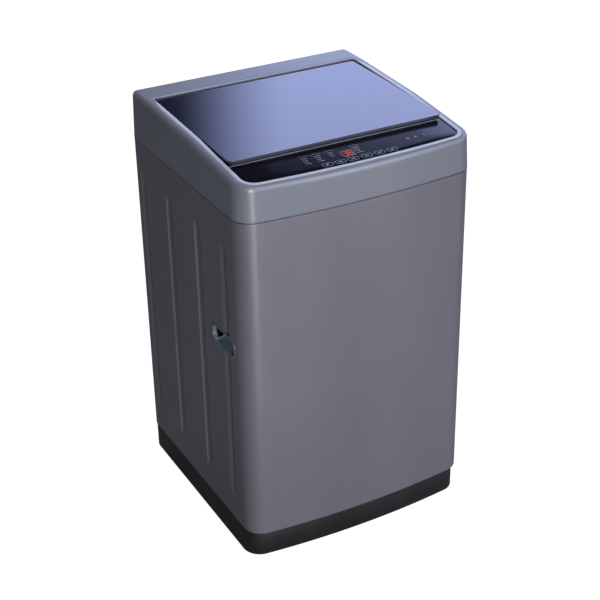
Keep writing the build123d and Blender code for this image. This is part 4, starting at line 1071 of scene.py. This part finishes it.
# ------------------------------------------------------------------ stage, light and camera
def make_stage():
    """Pale floor under the machine."""
    radius = np.array([0.0, 2.0, 5.0, 12.0])
    angle = np.linspace(0, 2 * math.pi, 64, endpoint=False)
    loops = np.stack([
        np.stack([r * np.cos(angle), r * np.sin(angle), np.full(64, -0.0002)], -1)
        for r in np.maximum(radius, 1e-4)
    ])
    floor = skin("pale_floor", loops)
    material = bpy.data.materials.new("pale_floor")
    material.use_nodes = True
    w = Wiring(material.node_tree)
    shader = material.node_tree.nodes["Principled BSDF"]
    noise = w.add("ShaderNodeTexNoise", {"Vector": w.place(), "Scale": 30.0}).outputs[0]
    colour = w.mix(noise, (0.11, 0.11, 0.11, 1), (0.12, 0.12, 0.12, 1))
    seen = w.add("ShaderNodeLightPath").outputs["Is Camera Ray"]
    glow = w.math("MULTIPLY_ADD", seen, 0.95)
    glow.node.inputs[2].default_value = 0.03
    material.node_tree.links.new(colour, shader.inputs["Base Color"])
    material.node_tree.links.new(glow, shader.inputs["Emission Strength"])
    shader.inputs["Roughness"].default_value = 0.9
    shader.inputs["Specular IOR Level"].default_value = 0.0
    shader.inputs["Emission Color"].default_value = (1, 1, 1, 1)
    floor.data.materials.append(material)


def make_world():
    """White room; its mirror image has a wide pale-blue window low behind the right side."""
    world = bpy.data.worlds.new("studio")
    bpy.context.scene.world = world
    world.use_nodes = True
    tree = world.node_tree
    tree.nodes.clear()
    w = Wiring(tree)
    way = w.add("ShaderNodeTexCoord").outputs["Generated"]
    parts = w.add("ShaderNodeSeparateXYZ", {0: way})
    azimuth = w.math("ARCTAN2", parts.outputs[0], parts.outputs[1])
    height = parts.outputs[2]
    across = w.ramp(azimuth, math.radians(23.2), math.radians(28.8))
    low = w.ramp(height, 0.572, 0.495)
    glow = w.math("MULTIPLY", across, low)
    seen = w.mix(glow, (0.020, 0.026, 0.055, 1), (1.62, 1.90, 3.40, 1))
    below = w.ramp(height, 0.02, -0.05)
    mirror = w.mix(below, seen, (0.55, 0.55, 0.58, 1))
    rays = w.add("ShaderNodeLightPath")
    soft = w.mix(rays.outputs["Is Glossy Ray"], (0.100, 0.092, 0.112, 1), mirror)
    shown = w.mix(rays.outputs["Is Camera Ray"], soft, (1.0, 1.0, 1.0, 1))
    background = w.add("ShaderNodeBackground", {"Color": shown})
    output = w.add("ShaderNodeOutputWorld")
    tree.links.new(background.outputs[0], output.inputs[0])


def make_light(name, place, aim, size, power, colour=(1, 1, 1), mirrored=True):
    """A rectangular soft light at a place, turned to its aim, unseen by the camera."""
    lamp = bpy.data.lights.new(name, "AREA")
    lamp.shape = "RECTANGLE"
    lamp.size, lamp.size_y = size
    lamp.energy = power
    lamp.color = colour
    holder = bpy.data.objects.new(name, lamp)
    bpy.context.collection.objects.link(holder)
    holder.location = place
    holder.rotation_euler = (Vector(aim) - Vector(place)).to_track_quat("-Z", "Y").to_euler()
    holder.visible_camera = False
    holder.visible_glossy = mirrored


def make_lights():
    """A key light that rakes the left side, a front fill, a floor strip, a top light and a back fill."""
    make_light("key_light", (-1.42, -4.2, 1.0), (-0.1, 0, 0.45), (0.6, 1.6), 142)
    make_light("front_fill", (1.5, -3.5, 1.2), (0, 0, 0.40), (1.6, 2.2), 54)
    make_light("corner_strip", (-0.47, -1.5, 0.03), (-0.25, -0.25, 0.9), (0.14, 1.9), 9)
    make_light("top_light", (0.2, 0.3, 3.2), (0, 0, 0.9), (2.2, 2.2), 66, (0.86, 0.90, 1.0), False)
    make_light("back_fill", (1.6, 3.2, 1.8), (0, 0, 0.5), (2.0, 2.0), 60, (1, 1, 1), False)


def make_camera():
    """Camera at the product's usual three-quarter view, above the lid on the left."""
    yaw, pitch, roll = 0.4923, 0.5049, -0.0183
    place = Vector((-1.3133, -2.4364, 1.9937))
    ahead = Vector((math.sin(yaw) * math.cos(pitch), math.cos(yaw) * math.cos(pitch), -math.sin(pitch)))
    level = Vector((math.cos(yaw), -math.sin(yaw), 0))
    raised = level.cross(ahead)
    right = level * math.cos(roll) + raised * math.sin(roll)
    up = raised * math.cos(roll) - level * math.sin(roll)
    lens = bpy.data.cameras.new("camera")
    lens.sensor_width = 36
    lens.lens = 84.87
    lens.clip_start = 0.1
    lens.clip_end = 60
    camera = bpy.data.objects.new("camera", lens)
    bpy.context.collection.objects.link(camera)
    turn = Matrix((right, up, -ahead)).transposed().to_4x4()
    camera.matrix_world = Matrix.Translation(place) @ turn
    bpy.context.scene.camera = camera


# ------------------------------------------------------------------ build
dress_cad_nodes()
make_cabinet()
make_grip(-1, "grip_scoop_left", "side_grip_left")
make_grip(1, "grip_scoop_right", "side_grip_right")
make_top_frame()
make_rim_highlight_strip()
make_inlet_pocket()
make_console()
make_console_print()
make_digits()
make_lid_line()
make_drum()
make_pulsator()
for place in ("front_left", "front_right", "rear_left", "rear_right"):
    make_spring(place)
make_stage()
make_world()
make_lights()
make_camera()
bpy.context.scene.view_settings.view_transform = "Standard"
